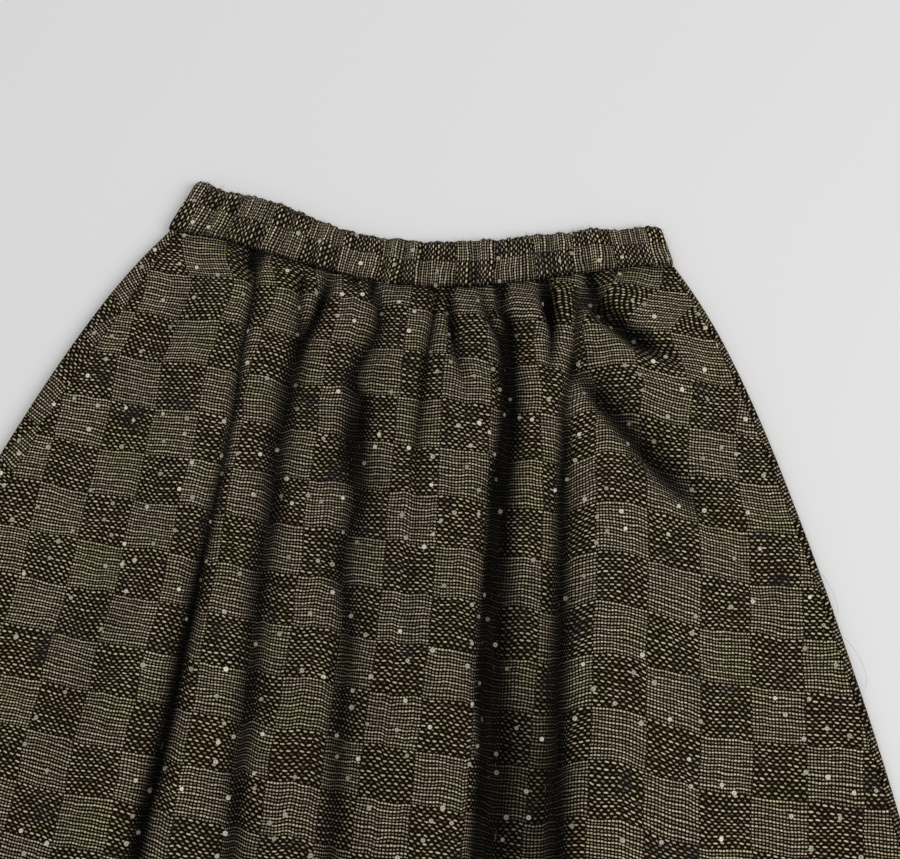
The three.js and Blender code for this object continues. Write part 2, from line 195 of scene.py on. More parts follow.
DRAGS = {
    "from_x": (94, 91, -128, -44),
    "from_down": (0, 56, 10, 95),
    "to_x": (184, 214, -176, -4),
    "to_down": (70, 186, 96, 175),
    "bend": (-13, -4, 0, 0),
    "drop": (10.5, 9.5, 2, 2.5),
    "width": (7, 8.5, 12, 9),
}
# Cloth that lies doubled inside a fold, beyond what its groove shows, at places down the skirt
TAKEN_UP = {
    "down": (0, 150, 235, 335, 700),
    "left": (27, 30, 26, 20, 20),
    "left inner": (10.7, 10.7, 9, 10.5, 10.5),
    "centre": (13.6, 8, 9, 8, 8),
    "deep": (25, 22.5, 23.5, 25, 25),
    "right": (20, 25, 26.9, 25, 25),
}
# Short, narrow tucks at the waist seam, finer than the solids have
TUCKS = {
    "x": (-102.5, -66, -54, -26.5, -38, 21, 52, 82, 111, 95, 129, 11),
    "start": (-1, 8, 20, 22, 23, 24, 15, 14, 8, 6, 3, 24),
    "length": (36, 17, 56, 24, 10, 44, 28, 42, 28, 10, 9, 12),
    "lean": (-7, -1, -12, 1, 1, 9, 7, 9, 8, 0, 0, 6),
    "drop": (11, 4, 3.4, 6.5, 5, 4.4, 8, 8, 6.5, 2.4, 3, 4),
    "width": (5.4, 3, 4.5, 3.2, 3.8, 3, 4, 4.2, 4.4, 3, 3, 4.5),
}
# Slanting waves of the soft cloth, each under half a millimetre high
COCKLES = {
    "wave_x": (61, 37, 83, -52, 24),
    "wave_down": (170, 96, 58, 71, 43),
    "height": (0.35, 0.22, 0.2, 0.2, 0.1),
    "phase": (0.4, 2.1, 4.0, 1.2, 3.3),
}
# Two long fibres that hang out of the right side seam
STRAYS = (
    {"x": (259, 264, 269, 270.5), "down": (190, 197, 206, 214), "height": (5, 5.5, 3, 1.2)},
    {"x": (274, 281, 286.5, 284.5), "down": (228, 237, 248, 259), "height": (5, 5.5, 2.5, 1)},
)
FIBRE_LENGTH = (1.2, 3.6)
FIBRE_RADIUS = 0.05
STRAY_RADIUS = 0.08
FIBRE_LOWEST = 0.3            # fibres stay this far above the floor
SEQUIN_HEIGHT = 0.9
SEQUIN_LIFT = 0.1
SEQUIN_ROOM = 8               # gaps between sequins above this count as equally wide
BACK_LIFTS = {
    "waist_x": (-118, -46, 38, 124),
    "hem_x": (-172, -52, 44, 190),
    "rise": (1.5, 1.4, 1.3, 1.6),
    "width": (30, 24, 24, 34),
}
BACK_GATHERS = 13
BACK_GATHER_RISE = 1.8
BACK_GATHER_LENGTH = 90
BAND_RIPPLES = 20
BAND_RIPPLE = 0.55
BAND_CORNER = 0.97            # the share of its half width where the band starts to turn round its side
BAND_CORNER_DROP = 5          # how far the top fold falls at its corners
BAND_PINCH = 0.8              # how far the seam draws the sides in
BAND_EDGE = 1.7               # radius of its edges
BAND_PUFF = 5.0               # radius of the front's edges between its corners
BAND_PROUD = 0.6              # how far the gathers' crests stand out of the solid
BAND_SHADE_REACH = 1.8
BAND_COLUMNS = (6, 380, 6)
BAND_ROWS = (4, 26, 4)
BAND_LEFT_OUT = 2.2           # how much further out the left side lies

# The weave, in threads: a check of square blocks
BLOCK = 16.0
ROW_SKEW = 0.052              # the rows fall by this much for each millimetre to the right
ROW_CURVE_RADIUS = 3500       # they also bow, because the sides of the skirt lie fanned out
FAN = 0.06                    # the columns stand this much closer at the waist
FAN_END = 420
ROW_SINK = 0.0018             # lower down they come closer together, more so on the left
ROW_SINK_LEFT = 0.0000061
SINK_START = 150
FINE_BLOCK_LEFT = (159.5, 272)  # x and down of a place on the left edge of a fine block of the front
FINE_BLOCK_TOP = (178, 258)   # and of one on its top edge
BAND_BLOCK_SHIFT = 14.5       # puts a line between blocks of the band this far above the waist seam

# The studio, in metres and watts
FLOOR_REACH = 4.0
FLOOR_LEVEL = -0.0002
SKY_COLOUR = (0.992, 1, 1.012, 1)
SKY_STRENGTH = 0.5
LAMPS = {
    "key": {"place": (1.95, -0.3, 1.7), "size": 1.5, "power": 35},
    "fill": {"place": (-1.2, 0.8, 2.4), "size": 1.4, "power": 12},
}
SENSOR_WIDTH = 36.0           # in millimetres


def ramp(low, high, at):
    """0 below low and 1 above high: t * t * (3 - 2 * t) between, t being the share of the way."""
    t = np.clip((at - low) / (high - low), 0, 1)
    return t * t * (3 - 2 * t)


def bell(distance, width):
    """exp(-(distance / width) ** 2): 1 in the middle, falling smoothly towards 0."""
    return np.exp(-((distance / width) ** 2))


def groove(distance, width):
    """exp(-(r - c) / width), r being hypot(distance, c) and c 0.3 * width: a hollow between broad crests."""
    bottom = 0.3 * width
    return np.exp(-(np.hypot(distance, bottom) - bottom) / width)


def mound(distance, width):
    """(1 - (distance / width) ** 2) ** 2 within width, and exactly 0 past it."""
    return np.maximum(0, 1 - (distance / width) ** 2) ** 2


def lerp(a, b, t):
    """Straight from a to b: a + (b - a) * t."""
    return a + (b - a) * t


def between(at, shares, stops):
    """Straight from stop to stop: stops[k] where at is shares[k]. A stop may be an array."""
    value = stops[0]
    for k in range(len(shares) - 1):
        t = np.clip((at - shares[k]) / (shares[k + 1] - shares[k]), 0, 1)
        value = value + (stops[k + 1] - stops[k]) * t
    return value


def rows_of(table):
    """The rows of a table whose columns are given by name."""
    return [dict(zip(table, row)) for row in zip(*table.values())]


def look_up(table, column, down):
    """A column of a table at down: a cubic Hermite curve whose tangents are harmonic means of its slopes."""
    places, values = np.array(table["down"], float), np.array(table[column], float)
    slopes = np.diff(values) / np.diff(places)
    before, after = slopes[:-1], slopes[1:]
    together = before * after > 0
    total = np.where(together, before + after, 1)
    inner = np.where(together, 2 * before * after / total, 0)
    tangents = np.concatenate([slopes[:1], inner, slopes[-1:]])
    down = np.clip(down, places[0], places[-1])
    i = np.clip(np.searchsorted(places, down, side="right") - 1, 0, len(places) - 2)
    step = places[i + 1] - places[i]
    t = (down - places[i]) / step
    on_rows = values[i] * (1 + 2 * t) * (1 - t) ** 2 + values[i + 1] * t * t * (3 - 2 * t)
    return on_rows + step * (tangents[i] * t * (1 - t) ** 2 - tangents[i + 1] * t * t * (1 - t))


def half_width(down):
    """Half the skirt's width, on the outline's curve."""
    return look_up(OUTLINE, "half", down)


def seam_inset(inset, down):
    """How far in a side seam lies: at the roll's edge at the waist, and at inset from 60 mm down."""
    return ROLL_OUTER + (inset - ROLL_OUTER) * ramp(-20, 60, down)


def seam_at_left(down):
    return seam_inset(SEAM_INSET_LEFT, down) - half_width(down)


def seam_at_right(down):
    return half_width(down) - seam_inset(SEAM_INSET_RIGHT, down)


def waist_down(x):
    """BAND_DIP * (1 - (x / WAIST_HALF) ** 2) ** 2: the waist seam dips in the middle."""
    return BAND_DIP * mound(x, WAIST_HALF)


def hem_down(x):
    """A parabola through the hem's corners and its middle."""
    return CENTRE_LENGTH - (CENTRE_LENGTH - SIDE_LENGTH) * (x / half_width(SIDE_LENGTH)) ** 2


def front_drop(x, down):
    """Drop of the front cloth below its crests: the sum of grooves or bells across folds, gathers and drags.

    A fold with a skew is steep on its left and gentle on its right: width * (1 + skew * tanh(aside / 4)).
    """
    drop = np.zeros(np.broadcast(x, down).shape)
    for fold in FOLDS.values():
        aside, width = x - look_up(fold, "x", down), look_up(fold, "width", down)
        if "skew" in fold:
            width = width * (1 + look_up(fold, "skew", down) * np.tanh(aside / 4))
        drop += look_up(fold, "drop", down) * groove(aside, width)
    for gather in rows_of(GATHERS):
        along = np.clip((down - waist_down(gather["x"])) / gather["length"], 0, 1)
        fade = (1 - along) ** 2 * (1 + 2 * along)
        across = bell(x - gather["x"] - gather["lean"] * along, gather["width"] * (1 + along / 2))
        drop += gather["drop"] * fade * across
    for drag in rows_of(DRAGS):
        run_x, run_down = drag["to_x"] - drag["from_x"], drag["to_down"] - drag["from_down"]
        length = math.hypot(run_x, run_down)
        away_x, away_down = x - drag["from_x"], down - drag["from_down"]
        along = np.clip((away_x * run_x + away_down * run_down) / length ** 2, 0, 1)
        aside = (away_x * run_down - away_down * run_x) / length - drag["bend"] * 4 * along * (1 - along)
        drop += drag["drop"] * ramp(0, 0.3, along) * ramp(1, 0.6, along) * bell(aside, drag["width"])
    return drop


def tuck_drop(x, down):
    """Drop of the short tucks: a bell across each, which starts within 5 mm and fades along its length."""
    drop = np.zeros(np.broadcast(x, down).shape)
    for tuck in rows_of(TUCKS):
        along = (down - tuck["start"]) / tuck["length"]
        fade = ramp(-5 / tuck["length"], 0, along) * ramp(1, 0.25, along)
        across = bell(x - tuck["x"] - tuck["lean"] * np.clip(along, 0, 1), tuck["width"])
        drop += tuck["drop"] * fade * across
    return drop


def cockle(x, down):
    """Uneven rise of soft cloth: the sum of height * sin(2 pi (x / wave_x + down / wave_down) + phase)."""
    rise = 0
    for wave in rows_of(COCKLES):
        turns = x / wave["wave_x"] + down / wave["wave_down"]
        rise = rise + wave["height"] * np.sin(2 * np.pi * turns + wave["phase"])
    return rise


def back_height(x, down):
    """Height of the middle of the back cloth: flat on the floor, with gathers at the waist and soft lifts."""
    below = np.maximum(0, down - waist_down(x))
    wave = 0.5 - 0.5 * np.cos((x / WAIST_HALF + 1) * BACK_GATHERS * np.pi)
    rise = BACK_GATHER_RISE * wave * mound(below, BACK_GATHER_LENGTH)
    share = below / CENTRE_LENGTH
    fade = ramp(0, 0.12, share) * ramp(0.9, 0.5, share)
    for lift in rows_of(BACK_LIFTS):
        middle = lerp(lift["waist_x"], lift["hem_x"], share)
        rise = rise + lift["rise"] * fade * mound(x - middle, lift["width"])
    from_side = half_width(down) - ROLL_OUTER - np.abs(x)
    return BACK_LEVEL + rise * ramp(0, 30, from_side)


def front_surface(x, down):
    """Height of the middle of the front cloth, and how far it has sunk from the crests to the back, 0 to 1.

    The height is that of the crests less their drop, but never in the back. The larger of the two is taken
    softly: floor + s * log(1 + exp((height - floor) / s)), s being CREASE_SOFTNESS.
    """
    below = down - waist_down(x)
    resting = lerp(SIDE_LEVEL, RESTING_LEVEL, ramp(10, 100, below))
    in_gathered = np.minimum(x - look_up(GATHERED, "left", below), look_up(GATHERED, "right", below) - x)
    from_seam = np.minimum(x - seam_at_left(down), seam_at_right(down) - x)
    lift = look_up(GATHERED, "height", below) - resting
    lifted = lift * ramp(-50, 20, in_gathered) * ramp(0, 45, from_seam)
    crest = resting + lifted + (SIDE_LEVEL - resting) * (1 - ramp(0, 50, from_seam))
    crest = crest - WAIST_DIVE * np.exp(-np.maximum(below, 0) / 4) * ramp(0, 30, from_seam)
    at_waist = 0.5 + 0.5 * ramp(0, 16, below)
    drop = (front_drop(x, down) * at_waist + tuck_drop(x, down)) * ramp(0, 26, from_seam)
    soft = cockle(x, down) * ramp(0, 30, from_seam) * ramp(0, 30, below)
    hem_layers = 2 * HEM_EXTRA * ramp(hem_down(x) - 4 * HEM_TURN, hem_down(x) - HEM_TURN, down)
    floor = back_height(x, down) + CLOTH + LAYER_GAP + hem_layers
    height = floor + CREASE_SOFTNESS * np.logaddexp(0, (crest + soft - drop - floor) / CREASE_SOFTNESS)
    return height, (crest + soft - height) / FULL_DEPTH


class Relief:
    """The front cloth's height on a grid, and what follows from it, read by straight interpolation.

    across and along: how much longer the cloth is than its flat places are apart, from x = 0 and from the
    waist, the sum of sqrt(1 + slope ** 2) - 1.
    Painted light: the share of light left by painted shade, which darkens the cloth's colour. It is how much
    of the sky a place sees over its neighbours, (cos(a) + cos(b)) / 2 for the horizons a and b on its two
    sides, taken across and down and multiplied. It is less where the cloth has sunk far down between its
    neighbours, more so high up than near the hem, and in the tucks and the gathered middle.
    """

    def __init__(self):
        self.x = np.arange(-402.0, 403.0, 1.0)
        self.down = np.arange(-4.0, 722.0, 3.0)
        grid_x, grid_down = np.meshgrid(self.x, self.down)
        height, sunk = front_surface(grid_x, grid_down)
        slope_down, slope_x = np.gradient(height, self.down, self.x)
        across = np.cumsum(np.sqrt(1 + slope_x ** 2) - 1, axis=1)
        self.across = across - across[:, [np.searchsorted(self.x, 0)]]
        self.along = np.cumsum(np.sqrt(1 + slope_down ** 2) - 1, axis=0) * 3
        # Painted shade: darker where the cloth has sunk to the back, in the tucks and in the gathered middle
        fold_shade = FOLD_SHADE * ramp(0.35, 1, sunk) * (1 - 0.6 * ramp(370, 560, grid_down))
        self.painted_light = self.seen(height, 1, 1.0) * self.seen(height, 0, 3.0) * (1 - fold_shade)
        self.painted_light *= 1 - TUCK_SHADE * ramp(1.5, 6, tuck_drop(grid_x, grid_down))
        self.painted_light *= 1 - MIDDLE_SHADE * bell(grid_x + 5, 80)

    def seen(self, height, axis, step):
        """Mean cosine of the steepest rises on both sides, within 24 mm along one axis of the grid."""
        total = 0
        for direction in (1, -1):
            horizon = np.zeros_like(height)
            for shift in range(1, int(24 / step)):
                beyond = np.roll(height, -direction * shift, axis=axis)
                horizon = np.maximum(horizon, (beyond - height) / (shift * step))
            total = total + 0.5 / np.sqrt(1 + horizon ** 2)
        return total

    def at(self, table, x, down):
        """A table of the grid at any place, straight between its points."""
        i = np.clip((x - self.x[0]) / (self.x[1] - self.x[0]), 0, len(self.x) - 1.001)
        j = np.clip((down - self.down[0]) / (self.down[1] - self.down[0]), 0, len(self.down) - 1.001)
        i0, j0 = i.astype(int), j.astype(int)
        fi, fj = i - i0, j - j0
        top = lerp(table[j0, i0], table[j0, i0 + 1], fi)
        low = lerp(table[j0 + 1, i0], table[j0 + 1, i0 + 1], fi)
        return lerp(top, low, fj)


def taken_up(x, down):
    """Cloth inside the folds between a place and the right of the skirt: a ramp over each fold's groove."""
    total = np.zeros(np.broadcast(x, down).shape)
    for name in list(TAKEN_UP)[1:]:
        fold = FOLDS[name]
        half = 0.8 * look_up(fold, "width", down)
        total += look_up(TAKEN_UP, name, down) * ramp(half, -half, x - look_up(fold, "x", down))
    return total


def grain(across, along, taken=0):
    """Place in the weave, in millimetres of cloth: columns fan out from the waist, and rows slope and bow.

    column = (across - taken) * (1 + FAN * (1 - along / FAN_END) ** 2)
    row = along - ROW_SKEW * across + across ** 2 / 2R + (ROW_SINK - ROW_SINK_LEFT * across) * below ** 1.5,
    below being how far the place lies under SINK_START
    """
    fan = 1 + FAN * np.clip(1 - along / FAN_END, 0, 1) ** 2
    sink = (ROW_SINK - ROW_SINK_LEFT * across) * np.maximum(0, along - SINK_START) ** 1.5
    row = along - ROW_SKEW * across + across ** 2 / (2 * ROW_CURVE_RADIUS) + sink
    return (across - taken) * fan, row


def settings():
    return bpy.context.scene.midi_skirt


def threads(cloth_column, cloth_row):
    """Places in the weave, counted in threads."""
    weave = settings().weave
    return np.stack([cloth_column / (weave.column_pitch / MM), cloth_row / (weave.row_pitch / MM)], axis=-1)


def front_grain(relief, x, down):
    """Threads across and down the front, counted from the corner of a fine block."""

    def on_cloth(at_x, at_down):
        at_x, at_down = np.asarray(at_x, float), np.asarray(at_down, float)
        across = at_x + relief.at(relief.across, at_x, at_down)
        along = at_down + relief.at(relief.along, at_x, at_down)
        return grain(across, along, taken_up(at_x, at_down))

    column, row = on_cloth(x, down)
    column_0 = on_cloth(*FINE_BLOCK_LEFT)[0]
    row_0 = on_cloth(*FINE_BLOCK_TOP)[1]
    return threads(column - column_0, row - row_0)


def to_points(x, down, z):
    return np.stack(np.broadcast_arrays(x, WAIST_TO_ORIGIN - down, z), axis=-1) * MM


def grid_normals(middle):
    """Unit normals of a grid of points: its downward difference crossed with its difference across."""
    across = np.gradient(middle, axis=1)
    downward = np.gradient(middle, axis=0)
    normals = np.cross(downward, across)
    return normals / np.linalg.norm(normals, axis=-1, keepdims=True)


def steps(ends, counts):
    """Even steps over several stretches, each with its own count."""
    parts = [np.linspace(a, b, n, endpoint=False) for a, b, n in zip(ends, ends[1:], counts)]
    return np.concatenate(parts + [np.array(ends[-1:], float)])


def rounded(distance, radius=0.9):
    """Share of the full thickness near a turned edge: a quarter circle over radius, and never under 0.15."""
    t = 1 - np.clip(distance / radius, 0, 1)
    return 0.15 + 0.85 * np.sqrt(1 - t * t)


def grid_faces(rows, columns, first=0, turned=False):
    """Quads of a grid of points that is stored row by row from index first."""
    r, c = np.meshgrid(np.arange(rows - 1), np.arange(columns - 1), indexing="ij")
    a = first + (r * columns + c).ravel()
    quads = np.stack([a, a + columns, a + columns + 1, a + 1], axis=1)
    return quads[:, ::-1] if turned else quads


def new_piece(name, points, faces, smooth, uv=None, painted_light=None, material=None):
    """Puts arrays of points and faces into a mesh object at the origin. uv is one pair for each point."""
    mesh = bpy.data.meshes.new(name)
    mesh.vertices.add(len(points))
    mesh.vertices.foreach_set("co", np.asarray(points, np.float32).ravel())
    mesh.loops.add(faces.size)
    mesh.loops.foreach_set("vertex_index", faces.astype(np.int32).ravel())
    mesh.polygons.add(len(faces))
    sides = faces.shape[1]
    mesh.polygons.foreach_set("loop_start", np.arange(0, faces.size, sides, dtype=np.int32))
    mesh.polygons.foreach_set("loop_total", np.full(len(faces), sides, np.int32))
    mesh.polygons.foreach_set("use_smooth", np.broadcast_to(smooth, len(faces)).astype(bool))
    if uv is not None:
        layer = mesh.uv_layers.new(name="grain")
        layer.data.foreach_set("uv", np.asarray(uv, np.float32)[faces.ravel()].ravel())
    if painted_light is not None:
        attribute = mesh.attributes.new("painted_light", "FLOAT", "POINT")
        attribute.data.foreach_set("value", np.asarray(painted_light, np.float32).ravel())
    mesh.update(calc_edges=True)
    mesh.validate()
    if material is not None:
        mesh.materials.append(material)
    piece = bpy.data.objects.new(name, mesh)
    bpy.context.scene.collection.objects.link(piece)
    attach(piece, "root")
    return piece


def cloth_wall(name, middle, outside, inside, weave, painted_light, material):
    """Closed wall of cloth: a grid's points moved out and in along its normals, joined round the rim.

    Returns the piece and its outer points as a grid of x, y, z and the share of light left by painted shade.
    """
    rows, columns = middle.shape[:2]
    normals = grid_normals(middle)
    outer = middle + normals * (outside * MM)[..., None]
    inner = middle - normals * (inside * MM)[..., None]
    points = np.concatenate([outer.reshape(-1, 3), inner.reshape(-1, 3)])
    count = rows * columns
    index = np.arange(count).reshape(rows, columns)
    loop = np.concatenate([index[0, :], index[1:, -1], index[-1, -2::-1], index[-2:0:-1, 0]])
    after = np.roll(loop, -1)
    rim = np.stack([loop, after, after + count, loop + count], axis=1)
    faces = np.concatenate([grid_faces(rows, columns), grid_faces(rows, columns, count, turned=True), rim])
    smooth = np.ones(len(faces), bool)
    uv = np.concatenate([weave.reshape(-1, 2)] * 2)
    painted_light = np.concatenate([np.broadcast_to(painted_light, (rows, columns)).ravel()] * 2)
    grid = np.concatenate([outer, painted_light[:count].reshape(rows, columns, 1)], axis=-1)
    return new_piece(name, points, faces, smooth, uv, painted_light, material), grid


# Where across the front its stretches end: both edges' roundings, the folded zone between two plain ones
FRONT_SHARES = (-1, -0.985, -0.8, 0.8, 0.985, 1)
FRONT_COLUMNS = (3, 18, 186, 16, 3)
FOLDED_LEFT = (-118, -158)
FOLDED_RIGHT = (140, 172)
PANEL_SHARES = (0, 0.004, 0.09, 0.52, 0.955, 0.997, 1)
PANEL_ROWS = (3, 46, 96, 42, 6, 4)
EDGE = 0.9                    # how far in from a seam or from the hem's fold the cloth rounds off
HEM_EDGE = 1.4


def front_x(u, down):
    """x of a column, u from -1 at the left seam to 1: even steps within each stretch of FRONT_SHARES."""
    share = down / CENTRE_LENGTH
    left, right = seam_at_left(down) + SEAM_GAP / 2, seam_at_right(down) - SEAM_GAP / 2
    zone = lerp(*FOLDED_LEFT, share), lerp(*FOLDED_RIGHT, share)
    return between(u, FRONT_SHARES, (left, left + EDGE, *zone, right - EDGE, right))


def rows_down(top, hem, t):
    """Rows from the waist seam to the hem, with close rows in the rounding of each edge."""
    straight = (t - PANEL_SHARES[1]) / (PANEL_SHARES[-2] - PANEL_SHARES[1])
    body = lerp(top + EDGE, hem - HEM_EDGE, np.clip(straight, 0, 1))
    first = EDGE * (np.clip(t / PANEL_SHARES[1], 0, 1) - 1)
    last = HEM_EDGE * np.clip((t - PANEL_SHARES[-2]) / (1 - PANEL_SHARES[-2]), 0, 1)
    return body + first + last


def panel_thickness(from_seams, from_waist, from_hem):
    """Outside and inside half thickness: round at its edges, and thicker inside over the hem's allowance."""
    seams = rounded(np.minimum(from_seams, from_waist))
    hem = rounded(from_hem, HEM_EDGE)
    allowance = HEM_EXTRA * ramp(HEM_TURN + 0.6, HEM_TURN - 0.6, from_hem)
    return HALF_CLOTH * seams * hem, (HALF_CLOTH + allowance) * seams * hem


def build_front(material):
    """The front panel: a grid from seam to seam and from waist to hem, at the height of front_surface."""
    u = steps(FRONT_SHARES, FRONT_COLUMNS)[None, :]
    t = steps(PANEL_SHARES, PANEL_ROWS)[:, None]
    top = waist_down(front_x(u, 0.0)) + SEAM_GAP
    hem = hem_down(front_x(u, float(SIDE_LENGTH)))
    down = rows_down(top, hem, t)
    x = front_x(u, down)
    middle = to_points(x, down, front_surface(x, down)[0])
    from_seams = np.minimum(x - front_x(-1.0, down), front_x(1.0, down) - x)
    outside, inside = panel_thickness(from_seams, down - top, hem - down)
    relief = Relief()
    weave, painted_light = front_grain(relief, x, down), relief.at(relief.painted_light, x, down)
    # Painted shadow along the waist seam, just under the waistband
    painted_light = painted_light * (1 - 0.22 * np.exp((top - down) / 2.4))
    return cloth_wall("front_panel_cloth", middle, outside, inside, weave, painted_light, material)


# Where round the back its stretches end: strip on top, roll, part on the floor, roll, strip on top
BACK_SHARES = (0, 0.01, 0.05, 0.15, 0.85, 0.95, 0.99, 1)
BACK_COLUMNS = (2, 7, 12, 130, 12, 3, 2)


def back_section(s, down):
    """x, height and turned share of the back's section. The rolls are half circles of SIDE_ROLL."""
    left_top, left_low, right_low, right_top = BACK_SHARES[2:6]
    centre = half_width(down) - ROLL_OUTER
    left, right = seam_at_left(down) - SEAM_GAP / 2, seam_at_right(down) + SEAM_GAP / 2
    left_round, right_round = np.minimum(EDGE, (left + centre) / 2), np.minimum(EDGE, (centre - right) / 2)
    stops = (left, left - left_round, -centre, -centre, centre, centre, right + right_round, right)
    x = between(s, BACK_SHARES, stops)
    left_turn = np.clip((left_low - s) / (left_low - left_top), 0, 1)
    right_turn = np.clip((s - right_low) / (right_top - right_low), 0, 1)
    turn = np.maximum(left_turn, right_turn)
    side = np.where(s < 0.5, -1, 1)
    x = x + side * SIDE_ROLL * np.sin(np.pi * turn)
    rolled = BACK_LEVEL + SIDE_ROLL * (1 - np.cos(np.pi * turn))
    z = np.where(turn > 0, rolled, back_height(x, down))
    return x, z, turn


def unrolled(x, z, down, turn):
    """Flat place of the back cloth, by adding up outward steps ds from the centre.

    Past a slanting fold the cloth is turned over, so its grain turns by twice the edge's slant:
    across += cos(2at) ds and along -= sin(2at) ds, a being the slant and t the turned share.
    """
    slant = np.arctan(np.gradient(half_width(down[:, 0]), down[:, 0]))[:, None]
    angle = 2 * slant * turn
    ds = np.hypot(np.diff(x, axis=1), np.diff(z, axis=1))
    mean_angle = (angle[:, 1:] + angle[:, :-1]) / 2
    zero = np.zeros((x.shape[0], 1))
    centre = x.shape[1] // 2
    across = np.concatenate([zero, np.cumsum(np.cos(mean_angle) * ds, axis=1)], axis=1)
    outward = np.where(np.arange(ds.shape[1]) < centre, -1, 1)
    back = np.concatenate([zero, np.cumsum(np.sin(mean_angle) * ds * outward, axis=1)], axis=1)
    return across - across[:, [centre]], down - (back - back[:, [centre]])


def build_back(material):
    """The back panel: a grid whose rows go round the section, from the strip on top over both rolls."""
    s = steps(BACK_SHARES, BACK_COLUMNS)[None, ::-1]
    t = steps(PANEL_SHARES, PANEL_ROWS)[:, None]
    top = waist_down(back_section(s, np.zeros((1, 1)))[0]) + SEAM_GAP
    hem = hem_down(back_section(s, np.full((1, 1), float(SIDE_LENGTH)))[0])
    down = rows_down(top, hem, t)
    x, z, turn = back_section(s, down)
    middle = to_points(x, down, z)
    seam_left, seam_right = seam_at_left(down), seam_at_right(down)
    on_top = turn >= 1
    from_seams = np.where(on_top, np.minimum(np.abs(x - seam_left), np.abs(x - seam_right)), np.inf)
    outside, inside = panel_thickness(from_seams, down - top, hem - down)
    across, along = unrolled(x[:, ::-1], z[:, ::-1], down[:, ::-1], turn[:, ::-1])
    column, row = grain(across[:, ::-1], along[:, ::-1])
    # Painted shade on the back: darker except on the strips on top, and more on the right than on the left
    painted_light = 1 - ramp(1, 0.6, turn) * ROLL_SHADE - np.where(x > 0, RIGHT_SHADE, LEFT_SHADE)
    return cloth_wall("back_panel_cloth", middle, outside, inside, threads(column, row), painted_light, material)


def band_wave(u, h):
    """Gathers of the waistband between -1 and 1: an even wave and a quicker, weaker one."""
    even = np.cos(BAND_RIPPLES * np.pi * u + 1.1 * np.sin(5 * u) + 0.9 * h)
    uneven = np.cos(1.37 * BAND_RIPPLES * np.pi * u + 2.2 - 0.8 * h)
    return 0.6 * even + 0.4 * uneven


def front_rise(x):
    """The bumps of the front's top fold, with short waves of about 6 mm between the gathers."""
    bumps = np.interp(x, BAND_BUMPS["x"], BAND_BUMPS["rise"])
    return bumps + 0.35 * np.sin(x + 2 * np.sin(x / 9)) + 0.25 * np.sin(1.7 * x + 3 * np.sin(x / 14))


def back_rise(x):
    """The back's top fold lies 1 mm lower, but stands up in the middle."""
    return 4.4 * bell(x + 10, 16) - 1.4 + 0.5 * np.interp(x, BAND_BUMPS["x"], BAND_BUMPS["rise"])


def band_section(u, h, level, side_level, rise):
    """A half of the waistband: straight from seam to top fold, with quarter circles round its two sides."""
    radius = abs(level - side_level)
    inset = HALF_BAND + radius
    across = np.clip(u / BAND_CORNER, -1, 1)
    turn = (np.pi / 2) * np.clip((np.abs(u) - BAND_CORNER) / (1 - BAND_CORNER), 0, 1)
    seam_x = across * (WAIST_HALF - inset)
    top_x = across * np.where(across < 0, -BAND_TOP_LEFT - inset, BAND_TOP_RIGHT - inset)
    corner = BAND_CORNER_DROP * ramp(0.955, 1, np.abs(u)) ** 2
    top_fold = BAND_HEIGHT + rise(top_x) + BAND_RIPPLE * band_wave(u, 1)
    top_down = waist_down(top_x) + BAND_SLANT * top_x - top_fold
    pinch = BAND_PINCH * ramp(0.94, 1, np.abs(u)) * ramp(0.2, 0, h)
    stretched = BAND_LEFT_OUT * ramp(0.94, 1, -u)
    x = lerp(seam_x, top_x, h) + np.sign(u) * (radius * np.sin(turn) - pinch) - stretched
    z = side_level + (level - side_level) * np.cos(turn)
    return x, lerp(waist_down(seam_x), top_down + corner, h), z


def band_depth(u, h):
    """How deep the front's face lies between its gathers: a * (1 - wave) + b * (1 - fine wave)."""
    fine = np.cos(2.6 * BAND_RIPPLES * np.pi * u + 3 * np.sin(9 * u) + 1.7 * h)
    return 0.75 * (1 - band_wave(u, h)) + 0.35 * (1 - fine)


def band_painted_light(depth, h):
    """Painted light of the band: over 1 on its raised face, a painted highlight, and less between the gathers
    and within BAND_SHADE_REACH of the seam and of the top fold, painted shade.
    """
    at_seam = 1 - 0.2 * np.exp(-h * BAND_HEIGHT / BAND_SHADE_REACH)
    at_fold = 1 - 0.12 * np.exp((h - 1) * BAND_HEIGHT / BAND_SHADE_REACH)
    return (1.07 - 0.07 * depth ** 1.5) * at_seam * at_fold


def band_grain(u, h):
    """Threads of the band: its grain runs along it, so the weave is turned a quarter, and it is gathered."""
    weave = settings().weave
    length = u * WAIST_HALF / (1 - weave.band_gather) + 0.9 * band_wave(u, h)
    height = h * BAND_HEIGHT + BAND_BLOCK_SHIFT + 0.8 * np.sin(7 * u)
    return np.stack([height / (weave.column_pitch / MM), length / (weave.row_pitch / MM)], axis=-1)


def build_band(name, level, side_level, rise, front, material):
    """A half of the waistband: a grid of u from side to side and h from the seam, 0, to the top fold, 1."""
    u = steps((-1, -BAND_CORNER, BAND_CORNER, 1), BAND_COLUMNS)[None, :]
    h = steps((0, 0.05, 0.95, 1), BAND_ROWS)[:, None]
    if front:
        h = h[::-1]
    x, down, z = band_section(u, h, level, side_level, rise)
    from_edge = np.minimum(h, 1 - h) * BAND_HEIGHT
    round_edge = rounded(from_edge, BAND_EDGE)
    plain = HALF_BAND * round_edge * np.ones_like(u)
    fade = ramp(1, 0.93, np.abs(u))
    depth = band_depth(u, h) * fade
    puffed = lerp(round_edge, rounded(from_edge, BAND_PUFF), fade)
    outside = (HALF_BAND + BAND_PROUD - depth) * puffed if front else plain
    # The band's painted light and shade, beside the grain of its weave
    weave, painted_light = band_grain(u, h), band_painted_light(depth, h)
    return cloth_wall(name, to_points(x, down, z), outside, plain, weave, painted_light, material)


